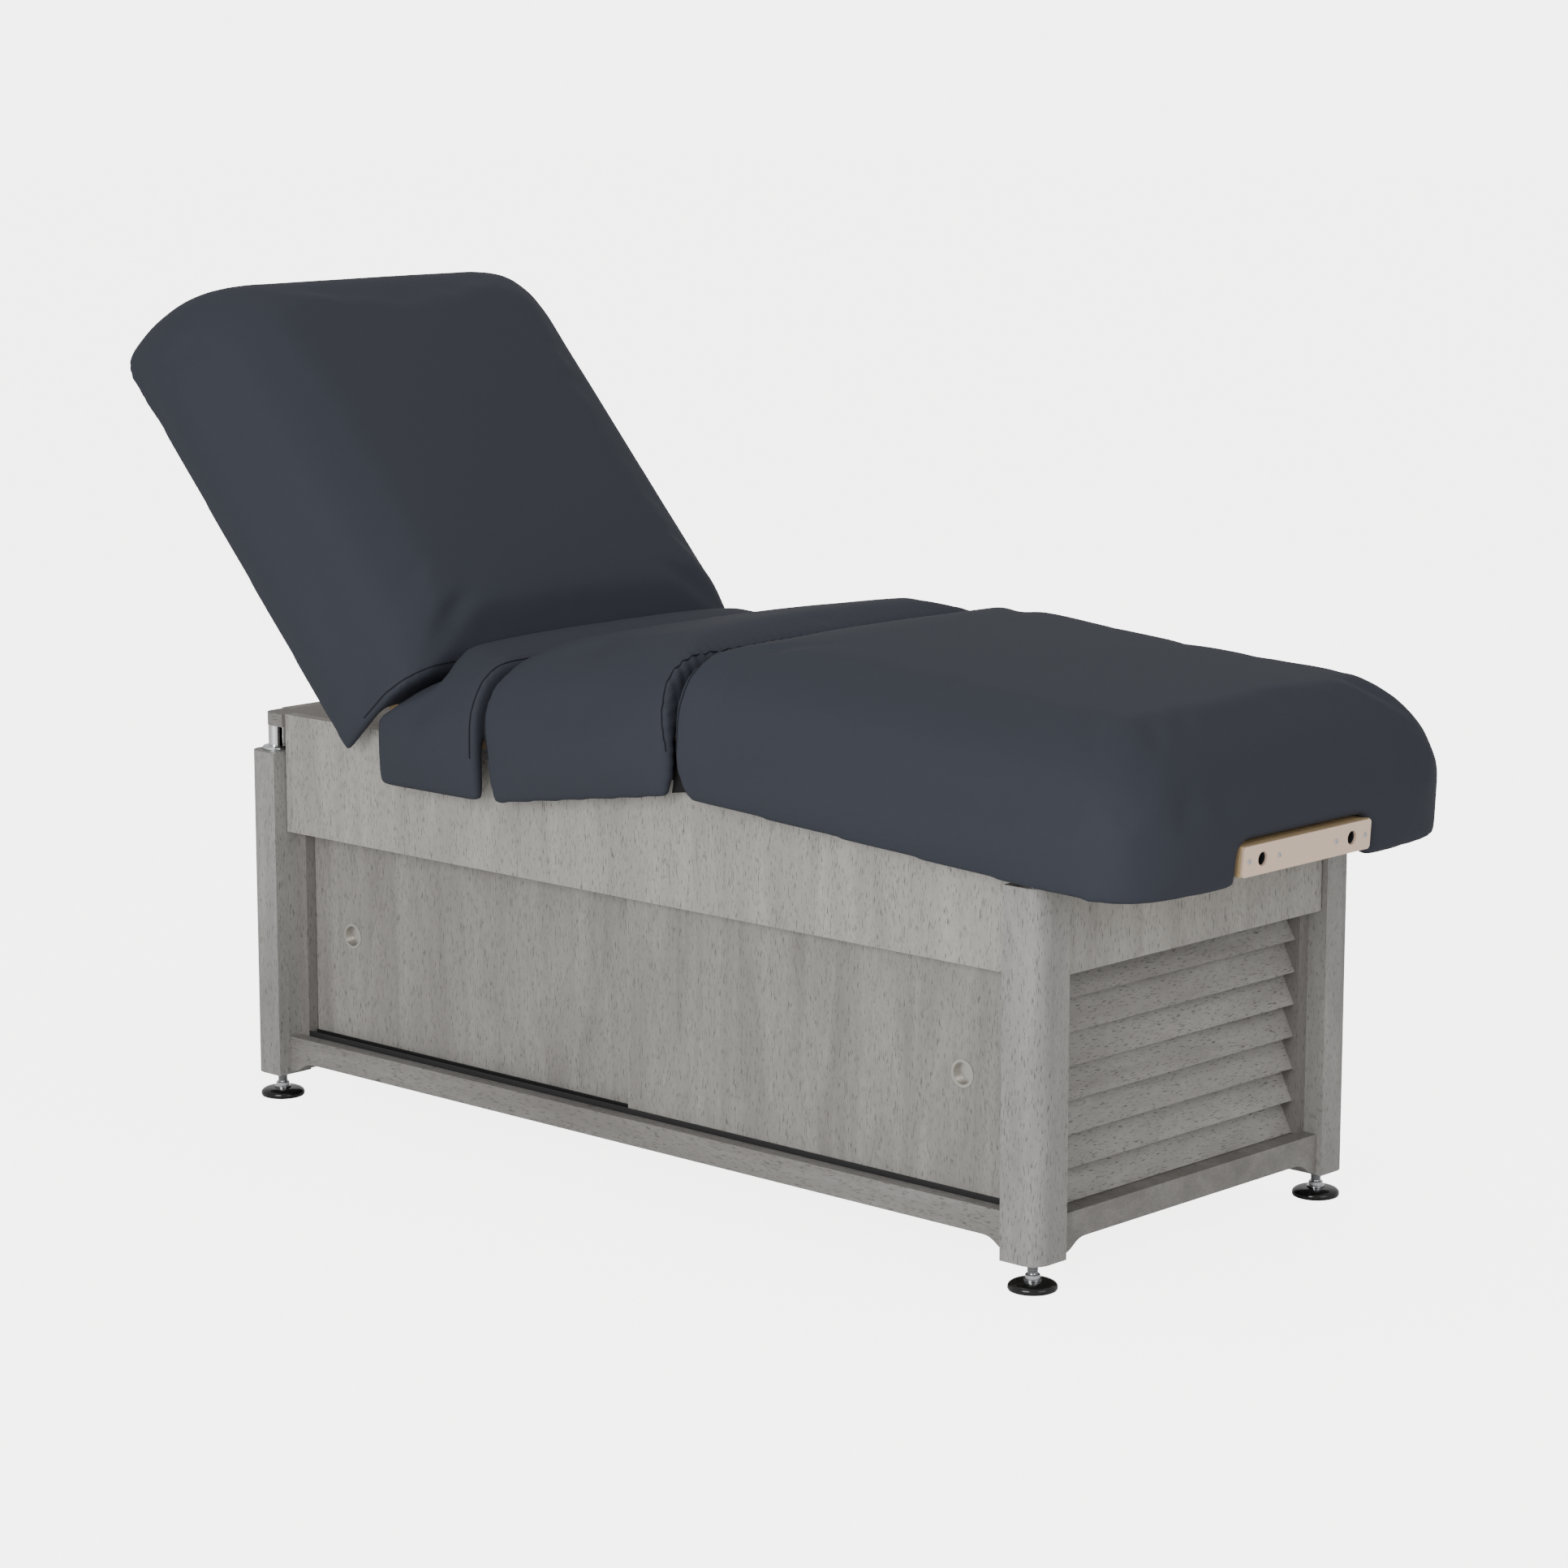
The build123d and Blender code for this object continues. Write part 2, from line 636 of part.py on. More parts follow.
# the seat pad keeps clear of the back pad's lower end and of the arc of its front corner
sweep_radius = (back_start**2 + pad_rise**2) ** 0.5 + pad_clear
low_point = turned(back_top_angle, back_start - pad_clear, 0)
corner_point = turned(back_top_angle, back_start - pad_clear, pad_rise + pad_clear)
seat_cut = [
    (seat_start - 1, low_point[1] - 4),
    low_point,
    corner_point,
    (corner_point[0] + pad_clear, pad_rise + 1),
    (seat_start - 1, pad_rise + 1),
]
seat_body = pad(seat, seat_start, seat_stop, 1, pad_joint_radius, [seat_cut])
hinge_channel = (back_start**2 + board_high**2) ** 0.5 + pad_clear
with BuildPart() as seat_pad:
    add(seat_body)
    with BuildSketch(seat.side()):
        Circle(hinge_channel)
    extrude(amount=skirt_inner, both=True, mode=Mode.SUBTRACT)
finish(seat_pad.part, "seat_pad", vinyl)

finish(
    pad(back, back_start, back_stop, pad_joint_radius, corner=end_corner_back),
    "back_pad", vinyl)

# the thigh pad's lower end leans away, so that its top clears the seat pad at the steepest
lean_room = pad_gap_seat - pad_clear
lean_top = (pad_rise * sin(radians(thigh_top_angle)) - lean_room) / cos(radians(thigh_top_angle))
lean_from = lean_room / sin(radians(thigh_top_angle))
lean_cut = [(-1, lean_from), (0, lean_from), (lean_top, pad_rise), (lean_top, pad_rise + 1), (-1, pad_rise + 1)]
knee_cut_thigh = [
    (thigh_stop + 1, -knee_cut_top),
    (thigh_stop, -knee_cut_top),
    (thigh_stop - knee_cut_half, -knee_cut_mid),
    (thigh_length - knee_cut, -skirt_drop - 1),
    (thigh_stop + 1, -skirt_drop - 1),
]
finish(pad(thigh, 0, thigh_stop, 1, pad_joint_radius, [lean_cut, knee_cut_thigh]), "thigh_pad", vinyl)

knee_cut_leg = [
    (leg_start - 1, -knee_cut_top),
    (leg_start, -knee_cut_top),
    (leg_start + knee_cut_half, -knee_cut_mid),
    (knee_cut, -skirt_drop - 1),
    (leg_start - 1, -skirt_drop - 1),
]
outlet_low = -end_rail_low
outlet_high = outlet_low + outlet_height
leg_body = pad(
    leg, leg_start, leg_stop, pad_joint_radius, cuts=[knee_cut_leg], corner=end_corner_leg)
with BuildPart() as leg_pad:
    add(leg_body)
    with BuildSketch(leg.side()):
        with Locations((leg_stop - skirt_wall / 2, (outlet_high + 1 - skirt_drop) / 2)):
            Rectangle(skirt_wall + 4, outlet_high + 1 + skirt_drop + 2)
    extrude(amount=outlet_half_width + 1, both=True, mode=Mode.SUBTRACT)
finish(leg_pad.part, "leg_pad", vinyl)

with BuildPart() as seat_board:
    seat_board_low = deck_top - hinge_level
    with BuildSketch(seat.plan(seat_board_low)):
        seat_board_stop = knee_base_x - back_hinge_x - hinge_clear
        with Locations(((hinge_clear + seat_board_stop) / 2, 0)):
            Rectangle(seat_board_stop - hinge_clear, 2 * board_half_width)
    extrude(amount=board_high - seat_board_low)
finish(seat_board.part, "seat_board", plywood)
board_end_gap = 3.0
finish(
    board(back, hinge_clear, back_stop - skirt_wall - board_end_gap, board_low, end_corner_back),
    "back_board", plywood)
finish(board(thigh, hinge_clear, thigh_length - hinge_clear, board_low), "thigh_board", plywood)
finish(
    board(leg, hinge_clear, leg_stop - skirt_wall - board_end_gap, board_low, end_corner_leg),
    "leg_board", plywood)

# ------------------------------------------------------------------ hinges

knuckle_length = 32.0
knuckle_gap = 1.0
knuckle_rows = (-240.0, 0.0, 240.0)
knuckle_block = 4.0


def knuckles(lines, pin_too):
    """Hinge knuckles at several hinges, each welded to the block that meets its board's edge.

    lines holds (section, side along the section, hinge place along it); with pin_too the pins
    are part of these knuckles and reach through the other board's.
    """
    with BuildPart() as row:
        for section, side, place in lines:
            for y in knuckle_rows:
                y_low = y - knuckle_length - knuckle_gap / 2 if pin_too else y + knuckle_gap / 2
                plane = section.side(y_low)
                direction = 1 if plane.z_dir.Y > 0 else -1
                with BuildSketch(plane):
                    with Locations((place, 0)):
                        Circle(hinge_radius)
                    with Locations((place + side * (hinge_clear + 2) / 2, 0)):
                        Rectangle(hinge_clear - 2, 2 * knuckle_block)
                    with Locations((place, 0)):
                        Circle(hinge_pin_radius + running_gap, mode=Mode.SUBTRACT)
                extrude(amount=direction * knuckle_length)
                if pin_too:
                    with BuildSketch(plane):
                        with Locations((place, 0)):
                            Circle(hinge_pin_radius + running_gap)
                    extrude(amount=direction * knuckle_length)
                    with BuildSketch(plane):
                        with Locations((place, 0)):
                            Circle(hinge_pin_radius)
                    extrude(amount=direction * (2 * knuckle_length + 2 * knuckle_gap))
    return row.part


finish(knuckles([(seat, 1, 0), (seat, -1, knee_base_x - back_hinge_x)], True), "seat_hinge_knuckles", steel)
finish(knuckles([(back, 1, 0)], False), "back_hinge_knuckles", steel)
with BuildPart() as thigh_hinge_knuckles:
    add(knuckles([(thigh, 1, 0)], False))
    add(knuckles([(thigh, -1, thigh_length)], True))
finish(thigh_hinge_knuckles.part, "thigh_hinge_knuckles", steel)
finish(knuckles([(leg, 1, 0)], False), "leg_hinge_knuckles", steel)

# ------------------------------------------------------------------ backrest and knee drives


def lever(section, lead, y, flange_stop):
    """A flat lever under a board, reaching past the hinge to a pin that works its drive."""
    tip = (-lever_length * sin(radians(lead)), -lever_length * cos(radians(lead)))
    nose = drive_pin_radius + 5
    out = -1 if y < 0 else 1
    with BuildPart() as arm:
        with BuildSketch(section.side(y)):
            with BuildLine():
                Polyline(
                    (hinge_clear + 4, board_low),
                    (flange_stop, board_low),
                    (flange_stop, board_low - 8),
                    (tip[0] + nose * 0.9, tip[1] - nose * 0.3),
                    (tip[0] - nose * 0.7, tip[1] + nose * 0.6),
                    close=True,
                )
            make_face()
            with Locations(tip):
                Circle(nose)
        extrude(amount=lever_thickness / 2, both=True)
        pin_plane = section.side(y)
        direction = out if pin_plane.z_dir.Y > 0 else -out
        with BuildSketch(pin_plane):
            with Locations(tip):
                Circle(drive_pin_radius)
        extrude(amount=direction * (yoke_offset + yoke_thickness / 2 + pin_stand_out))
    return arm.part


lever_flange = 75.0
finish(lever(back, back_lever_lead, -lever_y, lever_flange), "back_lever", steel)
finish(lever(thigh, knee_lever_lead, lever_y, lever_flange), "knee_lever", steel)

back_pin_x = back_hinge_x - lever_length * sin(radians(back_rest_angle - back_lever_lead))
knee_pin_x = knee_base_x + lever_length * sin(radians(thigh_rest_angle - knee_lever_lead))
back_travel = (lever_length * (sin(radians(back_lever_lead)) + sin(radians(back_rest_angle - back_lever_lead))),
               lever_length * (sin(radians(back_top_angle - back_lever_lead))
                               - sin(radians(back_rest_angle - back_lever_lead))))
knee_travel = (lever_length * (sin(radians(knee_lever_lead)) + sin(radians(thigh_rest_angle - knee_lever_lead))),
               lever_length * (sin(radians(thigh_top_angle - knee_lever_lead))
                               - sin(radians(thigh_rest_angle - knee_lever_lead))))
drive_z = hinge_level - drive_level
yoke_low = hinge_level - lever_length - drive_pin_radius - 5
yoke_high = hinge_level - lever_length * cos(radians(back_lever_lead)) + drive_pin_radius + 8


def drive_rod(pin_x, y, reach):
    """A push rod with a flat yoke plate; the lever's pin rides in the yoke's upright slot."""
    out = -1 if y < 0 else 1
    centre_y = y + out * yoke_offset
    slot_low = hinge_level - lever_length - drive_pin_radius - 1
    slot_high = yoke_high - 4
    with BuildPart() as rod:
        with BuildSketch(Plane.XZ.offset(-centre_y)):
            with Locations((pin_x, (yoke_low + yoke_high) / 2)):
                Rectangle(yoke_width, yoke_high - yoke_low)
            with Locations((pin_x, (slot_low + slot_high) / 2)):
                Rectangle(2 * (drive_pin_radius + drive_pin_gap), slot_high - slot_low, mode=Mode.SUBTRACT)
        extrude(amount=yoke_thickness / 2, both=True)
        with BuildSketch(Plane.YZ.offset(pin_x + yoke_width / 2)):
            with Locations((centre_y, drive_z)):
                Circle(drive_rod_radius)
        extrude(amount=reach)
    return rod.part


def tube_start(pin_x, inward_travel):
    """Where a drive's tube begins: past the yoke when it is drawn fully in."""
    return pin_x + yoke_width / 2 + inward_travel + drive_end_gap


back_tube_x = tube_start(back_pin_x, back_travel[0])
knee_tube_x = tube_start(knee_pin_x, knee_travel[1])
back_reach = back_tube_x + back_travel[1] + drive_grip - back_pin_x - yoke_width / 2
knee_reach = knee_tube_x + knee_travel[0] + drive_grip - knee_pin_x - yoke_width / 2
finish(drive_rod(back_pin_x, -lever_y, back_reach), "back_drive_rod", chrome)
finish(drive_rod(knee_pin_x, lever_y, knee_reach), "knee_drive_rod", chrome)

drives = ((back_tube_x, -lever_y - yoke_offset), (knee_tube_x, lever_y + yoke_offset))
with BuildPart() as drive_tubes:
    for tube_x, y in drives:
        with BuildSketch(Plane.YZ.offset(tube_x)):
            with Locations((y, drive_z)):
                Circle(drive_tube_radius)
                Circle(drive_rod_radius + running_gap, mode=Mode.SUBTRACT)
        extrude(amount=drive_tube_length)
finish(drive_tubes.part, "drive_tubes", steel)

with BuildPart() as drive_motors:
    for tube_x, y in drives:
        with BuildSketch(Plane.YZ.offset(tube_x + drive_tube_length)):
            with Locations((y, drive_z)):
                Circle(drive_motor_radius)
        extrude(amount=drive_motor_length)
finish(drive_motors.part, "drive_motors", black)

# ------------------------------------------------------------------ foot-end links

link_pivot = (link_pivot_x, hinge_level - link_pin_level)
link_angle = degrees(asin((leg.at(link_reach, -link_pin_level).Z - link_pivot[1]) / link_length))
links = Section(link_pivot, link_angle, 1)
ear_thickness = 5.0
ear_gap = 1.5

with BuildPart() as foot_links:
    for sy in (-1, 1):
        with BuildSketch(links.side(sy * link_y)):
            with Locations((0, 0), (link_length, 0)):
                Circle(link_radius)
            with Locations((link_length / 2, 0)):
                Rectangle(link_length, 1.4 * link_radius)
            Circle(link_pin_radius + running_gap, mode=Mode.SUBTRACT)
        extrude(amount=link_width / 2, both=True)
        with BuildSketch(links.side(sy * link_y)):
            with Locations((link_length, 0)):
                Circle(link_pin_radius)
        extrude(amount=link_width / 2 + ear_gap + ear_thickness + 1, both=True)
finish(foot_links.part, "foot_links", steel)

ear_offset = link_width / 2 + ear_gap + ear_thickness / 2
bracket_base = 6.0
hanger_width = 16.0
hanger_places = (40.0, drive_tube_length - 36.0)
bracket_low = link_pivot[1] - link_radius - 1.5 - bracket_base
with BuildPart() as deck_brackets:
    for tube_x, y in drives:
        for along_tube in hanger_places:
            with BuildSketch(Plane.YZ.offset(tube_x + along_tube)):
                with Locations((y, (drive_z + deck_bottom) / 2)):
                    Rectangle(2 * drive_tube_radius + 8, deck_bottom - drive_z)
                with Locations((y, drive_z)):
                    Circle(drive_tube_radius, mode=Mode.SUBTRACT)
            extrude(amount=hanger_width)
    for sy in (-1, 1):
        for side in (-1, 1):
            with BuildSketch(Plane.XZ.offset(-(sy * link_y + side * ear_offset))):
                with Locations((link_pivot_x, (link_pivot[1] + bracket_low) / 2)):
                    Rectangle(2 * link_radius, link_pivot[1] - bracket_low)
                with Locations(link_pivot):
                    Circle(link_radius)
            extrude(amount=ear_thickness / 2, both=True)
        with BuildSketch(Plane.XY.offset(bracket_low)):
            with Locations((link_pivot_x, sy * link_y)):
                Rectangle(2 * link_radius, 2 * (link_slot_half + 14))
        extrude(amount=bracket_base)
        for side in (-1, 1):
            with BuildSketch(Plane.XY.offset(bracket_low)):
                with Locations((link_pivot_x, sy * link_y + side * (link_slot_half + 8))):
                    Rectangle(2 * link_radius, 12)
            extrude(amount=deck_bottom - bracket_low)
        with BuildSketch(Plane.XZ.offset(-sy * link_y)):
            with Locations(link_pivot):
                Circle(link_pin_radius)
        extrude(amount=ear_offset, both=True)
finish(deck_brackets.part, "deck_brackets", steel)

with BuildPart() as leg_ears:
    for sy in (-1, 1):
        for side in (-1, 1):
            with BuildSketch(leg.side(sy * link_y + side * ear_offset)):
                with Locations((link_reach, (board_low - link_pin_level) / 2)):
                    Rectangle(2 * (link_open_radius + 4), link_pin_level + board_low)
                with Locations((link_reach, -link_pin_level)):
                    Circle(link_open_radius + 4)
                    Circle(link_open_radius, mode=Mode.SUBTRACT)
            extrude(amount=ear_thickness / 2, both=True)
finish(leg_ears.part, "leg_ears", steel)

# ------------------------------------------------------------------ face-cradle outlet

rail_back = leg_stop - socket_length
skirt_in = leg_stop - skirt_wall
with BuildPart() as leg_end_rail:
    with BuildSketch(leg.side()):
        with BuildLine():
            Polyline(
                (rail_back, board_low),
                (rail_back, outlet_low),
                (leg_stop, outlet_low),
                (leg_stop, outlet_high),
                (skirt_in - board_end_gap, outlet_high),
                (skirt_in - board_end_gap, board_low),
                close=True,
            )
        make_face()
    extrude(amount=outlet_half_width, both=True)
    with BuildSketch(leg.end(leg_stop)):
        with Locations((0, (outlet_low + outlet_high) / 2)):
            with GridLocations(socket_spacing, 1, 2, 1):
                Circle(socket_radius + socket_wall)
    extrude(amount=-socket_length, mode=Mode.SUBTRACT)
finish(leg_end_rail.part, "leg_end_rail", plywood)

with BuildPart() as cradle_sockets:
    with BuildSketch(leg.end(leg_stop)):
        with Locations((0, (outlet_low + outlet_high) / 2)):
            with GridLocations(socket_spacing, 1, 2, 1):
                Circle(socket_radius + socket_wall)
                Circle(socket_radius, mode=Mode.SUBTRACT)
    extrude(amount=-socket_length)
finish(cradle_sockets.part, "cradle_sockets", steel)

screw_spots = [(x, 0) for x in (-118.0, -58.0, 58.0, 118.0)]
with BuildPart() as outlet_plate:
    with BuildSketch(leg.end(leg_stop)) as plate_face:
        with Locations((0, (outlet_low + outlet_high) / 2)):
            RectangleRounded(2 * outlet_half_width, outlet_height, 5)
            with GridLocations(socket_spacing, 1, 2, 1):
                Circle(socket_radius + 1, mode=Mode.SUBTRACT)
    extrude(amount=outlet_thickness)
finish(outlet_plate.part, "outlet_plate", copper_tint)

with BuildPart() as outlet_screws:
    with BuildSketch(leg.end(leg_stop + outlet_thickness)):
        with Locations((0, (outlet_low + outlet_high) / 2)):
            with Locations(*screw_spots):
                Circle(screw_radius)
    extrude(amount=screw_head)
finish(outlet_screws.part, "outlet_screws", chrome)

# ------------------------------------------------------------------ pump unit and power

floor_top = rail_bottom + 6 + cabinet_panel
pump_x = -470.0
pump_y = 40.0
reservoir_width = 180.0
control_box_front = 53.5 - track_inner   # clear of the door tracks' inner side
control_box_back = pump_y - reservoir_width / 2 - 35

with BuildPart() as oil_reservoir:
    with BuildSketch(Plane.XY.offset(floor_top)):
        with Locations((pump_x - 90, pump_y)):
            RectangleRounded(120, reservoir_width, 8)
    extrude(amount=130)
    chamfer(oil_reservoir.edges().group_by(Axis.Z)[-1], 4)
finish(oil_reservoir.part, "oil_reservoir", steel)

manifold_x = pump_x + 5
manifold_top = floor_top + 90
with BuildPart() as pump_manifold:
    with BuildSketch(Plane.XY.offset(floor_top)):
        with Locations((manifold_x, pump_y)):
            Rectangle(70, 110)
    extrude(amount=manifold_top - floor_top)
    chamfer(pump_manifold.edges().group_by(Axis.Z)[-1], 3)
finish(pump_manifold.part, "pump_manifold", steel)

motor_radius = 42.0
with BuildPart() as pump_motor:
    with BuildSketch(Plane.YZ.offset(manifold_x + 35)):
        with Locations((pump_y, floor_top + motor_radius + 3)):
            Circle(motor_radius)
    extrude(amount=150)
    chamfer(pump_motor.edges().sort_by(Axis.X)[-1], 5)
finish(pump_motor.part, "pump_motor", black)

with BuildPart() as control_box:
    with BuildSketch(Plane.XY.offset(floor_top)):
        with Locations((pump_x - 95, (control_box_front + control_box_back) / 2)):
            RectangleRounded(150, control_box_back - control_box_front, 6)
    extrude(amount=55)
    chamfer(control_box.edges().group_by(Axis.Z)[-1], 3)
finish(control_box.part, "control_box", black)

line_radius = 4.0
line_level = floor_top + line_radius + 1
line_bend = 25.0


def oil_line(sx, sy, order):
    """Centre line of a pipe from the manifold across and along the cabinet floor to a corner."""
    start = (manifold_x + order * 14, pump_y + sy * 55, line_level)
    lane = sy * (track_inner - 12 - 10 * (order > 0))
    return [start, (start[0], lane, line_level), (sx * (post_in_x - 30), lane, line_level)]


with BuildPart() as oil_lines:
    for sx, sy in corners:
        order = 1 if sx > 0 else -1
        points = oil_line(sx, sy, order)
        with BuildLine() as path:
            FilletPolyline(*points, radius=line_bend)
        route = path.wire()
        with BuildSketch(Plane(origin=route @ 0, z_dir=route % 0)):
            Circle(line_radius)
        sweep(path=route)
finish(oil_lines.part, "oil_lines", steel)
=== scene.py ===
"""Looks of a powered treatment table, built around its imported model.

Metres, +Z up, +X towards the foot end; the front long side faces -Y.
"""
import json
import logging
import math
from dataclasses import dataclass, field
from enum import Enum

import bmesh
import bpy
import numpy as np
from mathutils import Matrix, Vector, noise
from mathutils.bvhtree import BVHTree


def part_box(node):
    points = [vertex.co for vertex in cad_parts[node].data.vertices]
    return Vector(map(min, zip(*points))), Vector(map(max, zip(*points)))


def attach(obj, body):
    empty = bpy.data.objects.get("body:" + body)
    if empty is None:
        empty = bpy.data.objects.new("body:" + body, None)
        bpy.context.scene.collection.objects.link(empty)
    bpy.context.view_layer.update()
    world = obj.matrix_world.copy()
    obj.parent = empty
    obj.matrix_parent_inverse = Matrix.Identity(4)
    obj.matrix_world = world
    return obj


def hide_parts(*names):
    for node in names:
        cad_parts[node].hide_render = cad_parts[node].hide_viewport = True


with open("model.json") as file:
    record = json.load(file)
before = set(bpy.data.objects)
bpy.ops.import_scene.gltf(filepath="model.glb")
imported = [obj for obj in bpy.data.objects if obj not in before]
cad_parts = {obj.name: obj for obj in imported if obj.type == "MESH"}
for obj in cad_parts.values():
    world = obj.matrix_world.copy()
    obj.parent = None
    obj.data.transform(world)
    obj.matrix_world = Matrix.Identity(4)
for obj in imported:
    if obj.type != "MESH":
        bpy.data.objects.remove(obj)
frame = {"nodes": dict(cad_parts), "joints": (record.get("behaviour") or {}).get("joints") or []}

log = logging.getLogger("treatment_table")
MM = 0.001
BACK_ANGLE = 47.5
THIGH_ANGLE = 8.7
LEG_ANGLE = 3.6


class Grain(Enum):
    """Which way the grain of a laminate runs."""

    ALONG = (1.0, 0.0, 0.0)
    ACROSS = (0.0, 1.0, 0.0)
    UPRIGHT = (0.0, 0.0, 1.0)


# ---------------------------------------------------------------- colours and nodes


def linear(hex_colour: str) -> tuple[float, float, float, float]:
    """Turn an sRGB hex colour into a linear one.

    Args:
        hex_colour: Six hex digits after a hash.

    Returns:
        Linear red, green, blue and an alpha of 1.
    """
    values = [int(hex_colour[i : i + 2], 16) / 255 for i in (1, 3, 5)]
    red, green, blue = (v / 12.92 if v <= 0.04045 else ((v + 0.055) / 1.055) ** 2.4 for v in values)
    return (red, green, blue, 1.0)


def add_node(
    tree: bpy.types.NodeTree,
    kind: str,
    inputs: dict[str | int, object] | None = None,
    **settings: object,
) -> bpy.types.Node:
    """Add one node with its settings, values and links.

    Args:
        tree: Node tree that gets the node.
        kind: The node's type name.
        inputs: Input name or number to a plain value, or to the output socket that feeds it.
        **settings: Properties of the node itself.

    Returns:
        The new node.
    """
    node = tree.nodes.new(kind)
    for name, value in settings.items():
        setattr(node, name, value)
    for key, value in (inputs or {}).items():
        if isinstance(value, bpy.types.NodeSocket):
            tree.links.new(value, node.inputs[key])
        else:
            node.inputs[key].default_value = value
    return node


def new_finish(name: str) -> tuple[bpy.types.Material, bpy.types.NodeTree, bpy.types.Node]:
    """Make an empty material.

    Args:
        name: The material's name.

    Returns:
        The material, its tree and its Principled shader.
    """
    material = bpy.data.materials.new(name)
    material.use_nodes = True
    tree = material.node_tree
    shader = next(n for n in tree.nodes if n.type == "BSDF_PRINCIPLED")
    return material, tree, shader


# ---------------------------------------------------------------- finishes


@dataclass(frozen=True)
class GreyOakLaminate:
    """Weathered grey oak laminate on board: pressed paper grain, satin, with short dark pores."""

    name: str
    grain: Grain
    pale: str = "#9C9994"
    deep: str = "#797672"
    pore: str = "#4C4946"
    plank_period: float = 55 * MM
    pore_length: float = 10 * MM
    pore_width: float = 1.5 * MM  # drawn coarser than the real 0.3 mm so that it shows
    mottle: float = 9 * MM
    roughness: float = 0.52

    def stretch(self, across: float, along: float) -> tuple[float, float, float]:
        """Pattern scale with one cell size across the grain and another along it."""
        return tuple(1 / (along if part else across) for part in self.grain.value)

    def make(self) -> bpy.types.Material:
        """Build the material."""
        material, tree, shader = new_finish(self.name)
        place = add_node(tree, "ShaderNodeTexCoord").outputs["Object"]
        broad = add_node(
            tree, "ShaderNodeMapping",
            {"Vector": place, "Scale": self.stretch(self.plank_period, 7 * self.plank_period)},
        )
        figure = add_node(
            tree, "ShaderNodeTexNoise",
            {"Vector": broad.outputs[0], "Scale": 1.0, "Detail": 6.0, "Roughness": 0.62, "Distortion": 0.7},
        )
        tone = add_node(
            tree, "ShaderNodeMapRange",
            {"Value": figure.outputs["Fac"], "From Min": 0.30, "From Max": 0.72},
        )
        body = add_node(
            tree, "ShaderNodeMix",
            {"Factor": tone.outputs[0], 6: linear(self.deep), 7: linear(self.pale)},
            data_type="RGBA",
        )
        fine = add_node(
            tree, "ShaderNodeMapping",
            {"Vector": place, "Scale": self.stretch(self.pore_width, self.pore_length)},
        )
        pores = add_node(
            tree, "ShaderNodeTexNoise",
            {"Vector": fine.outputs[0], "Scale": 1.0, "Detail": 2.0, "Roughness": 0.5},
        )
        flecks = add_node(
            tree, "ShaderNodeMapRange",
            {"Value": pores.outputs["Fac"], "From Min": 0.57, "From Max": 0.70, "To Max": 0.8},
        )
        cloudy = add_node(
            tree, "ShaderNodeMapping",
            {"Vector": place, "Scale": self.stretch(self.mottle, 2.2 * self.mottle)},
        )
        patches = add_node(
            tree, "ShaderNodeTexNoise",
            {"Vector": cloudy.outputs[0], "Scale": 1.0, "Detail": 4.0, "Roughness": 0.6},
        )
        dulled = add_node(
            tree, "ShaderNodeMapRange",
            {"Value": patches.outputs["Fac"], "From Min": 0.35, "From Max": 0.75, "To Max": 0.5},
        )
        mottled = add_node(
            tree, "ShaderNodeMix",
            {"Factor": dulled.outputs[0], 6: body.outputs[2], 7: linear(self.deep)},
            data_type="RGBA",
        )
        coat = add_node(
            tree, "ShaderNodeMix",
            {"Factor": flecks.outputs[0], 6: mottled.outputs[2], 7: linear(self.pore)},
            data_type="RGBA",
        )
        tree.links.new(coat.outputs[2], shader.inputs["Base Color"])
        relief = add_node(
            tree, "ShaderNodeBump",
            {"Height": pores.outputs["Fac"], "Strength": 0.12, "Distance": 0.4 * MM},
            invert=True,
        )
        tree.links.new(relief.outputs[0], shader.inputs["Normal"])
        shader.inputs["Roughness"].default_value = self.roughness
        return material


@dataclass(frozen=True)
class UpholsteryVinyl:
    """Coated upholstery fabric, embossed with a fine leather grain: soft, broad highlights."""

    name: str
    colour: str = "#353840"
    pebble: float = 1.6 * MM
    roughness: float = 0.72
    depth: float = 0.12 * MM
    specular: float = 0.14

    def make(self) -> bpy.types.Material:
        """Build the material."""
        material, tree, shader = new_finish(self.name)
        place = add_node(tree, "ShaderNodeTexCoord").outputs["Object"]
        cells = add_node(
            tree, "ShaderNodeTexVoronoi",
            {"Vector": place, "Scale": 1 / self.pebble},
            feature="SMOOTH_F1",
        )
        relief = add_node(
            tree, "ShaderNodeBump",
            {"Height": cells.outputs["Distance"], "Strength": 0.35, "Distance": self.depth},
            invert=True,
        )
        tree.links.new(relief.outputs[0], shader.inputs["Normal"])
        shader.inputs["Base Color"].default_value = linear(self.colour)
        shader.inputs["Roughness"].default_value = self.roughness
        shader.inputs["Specular IOR Level"].default_value = self.specular
        return material


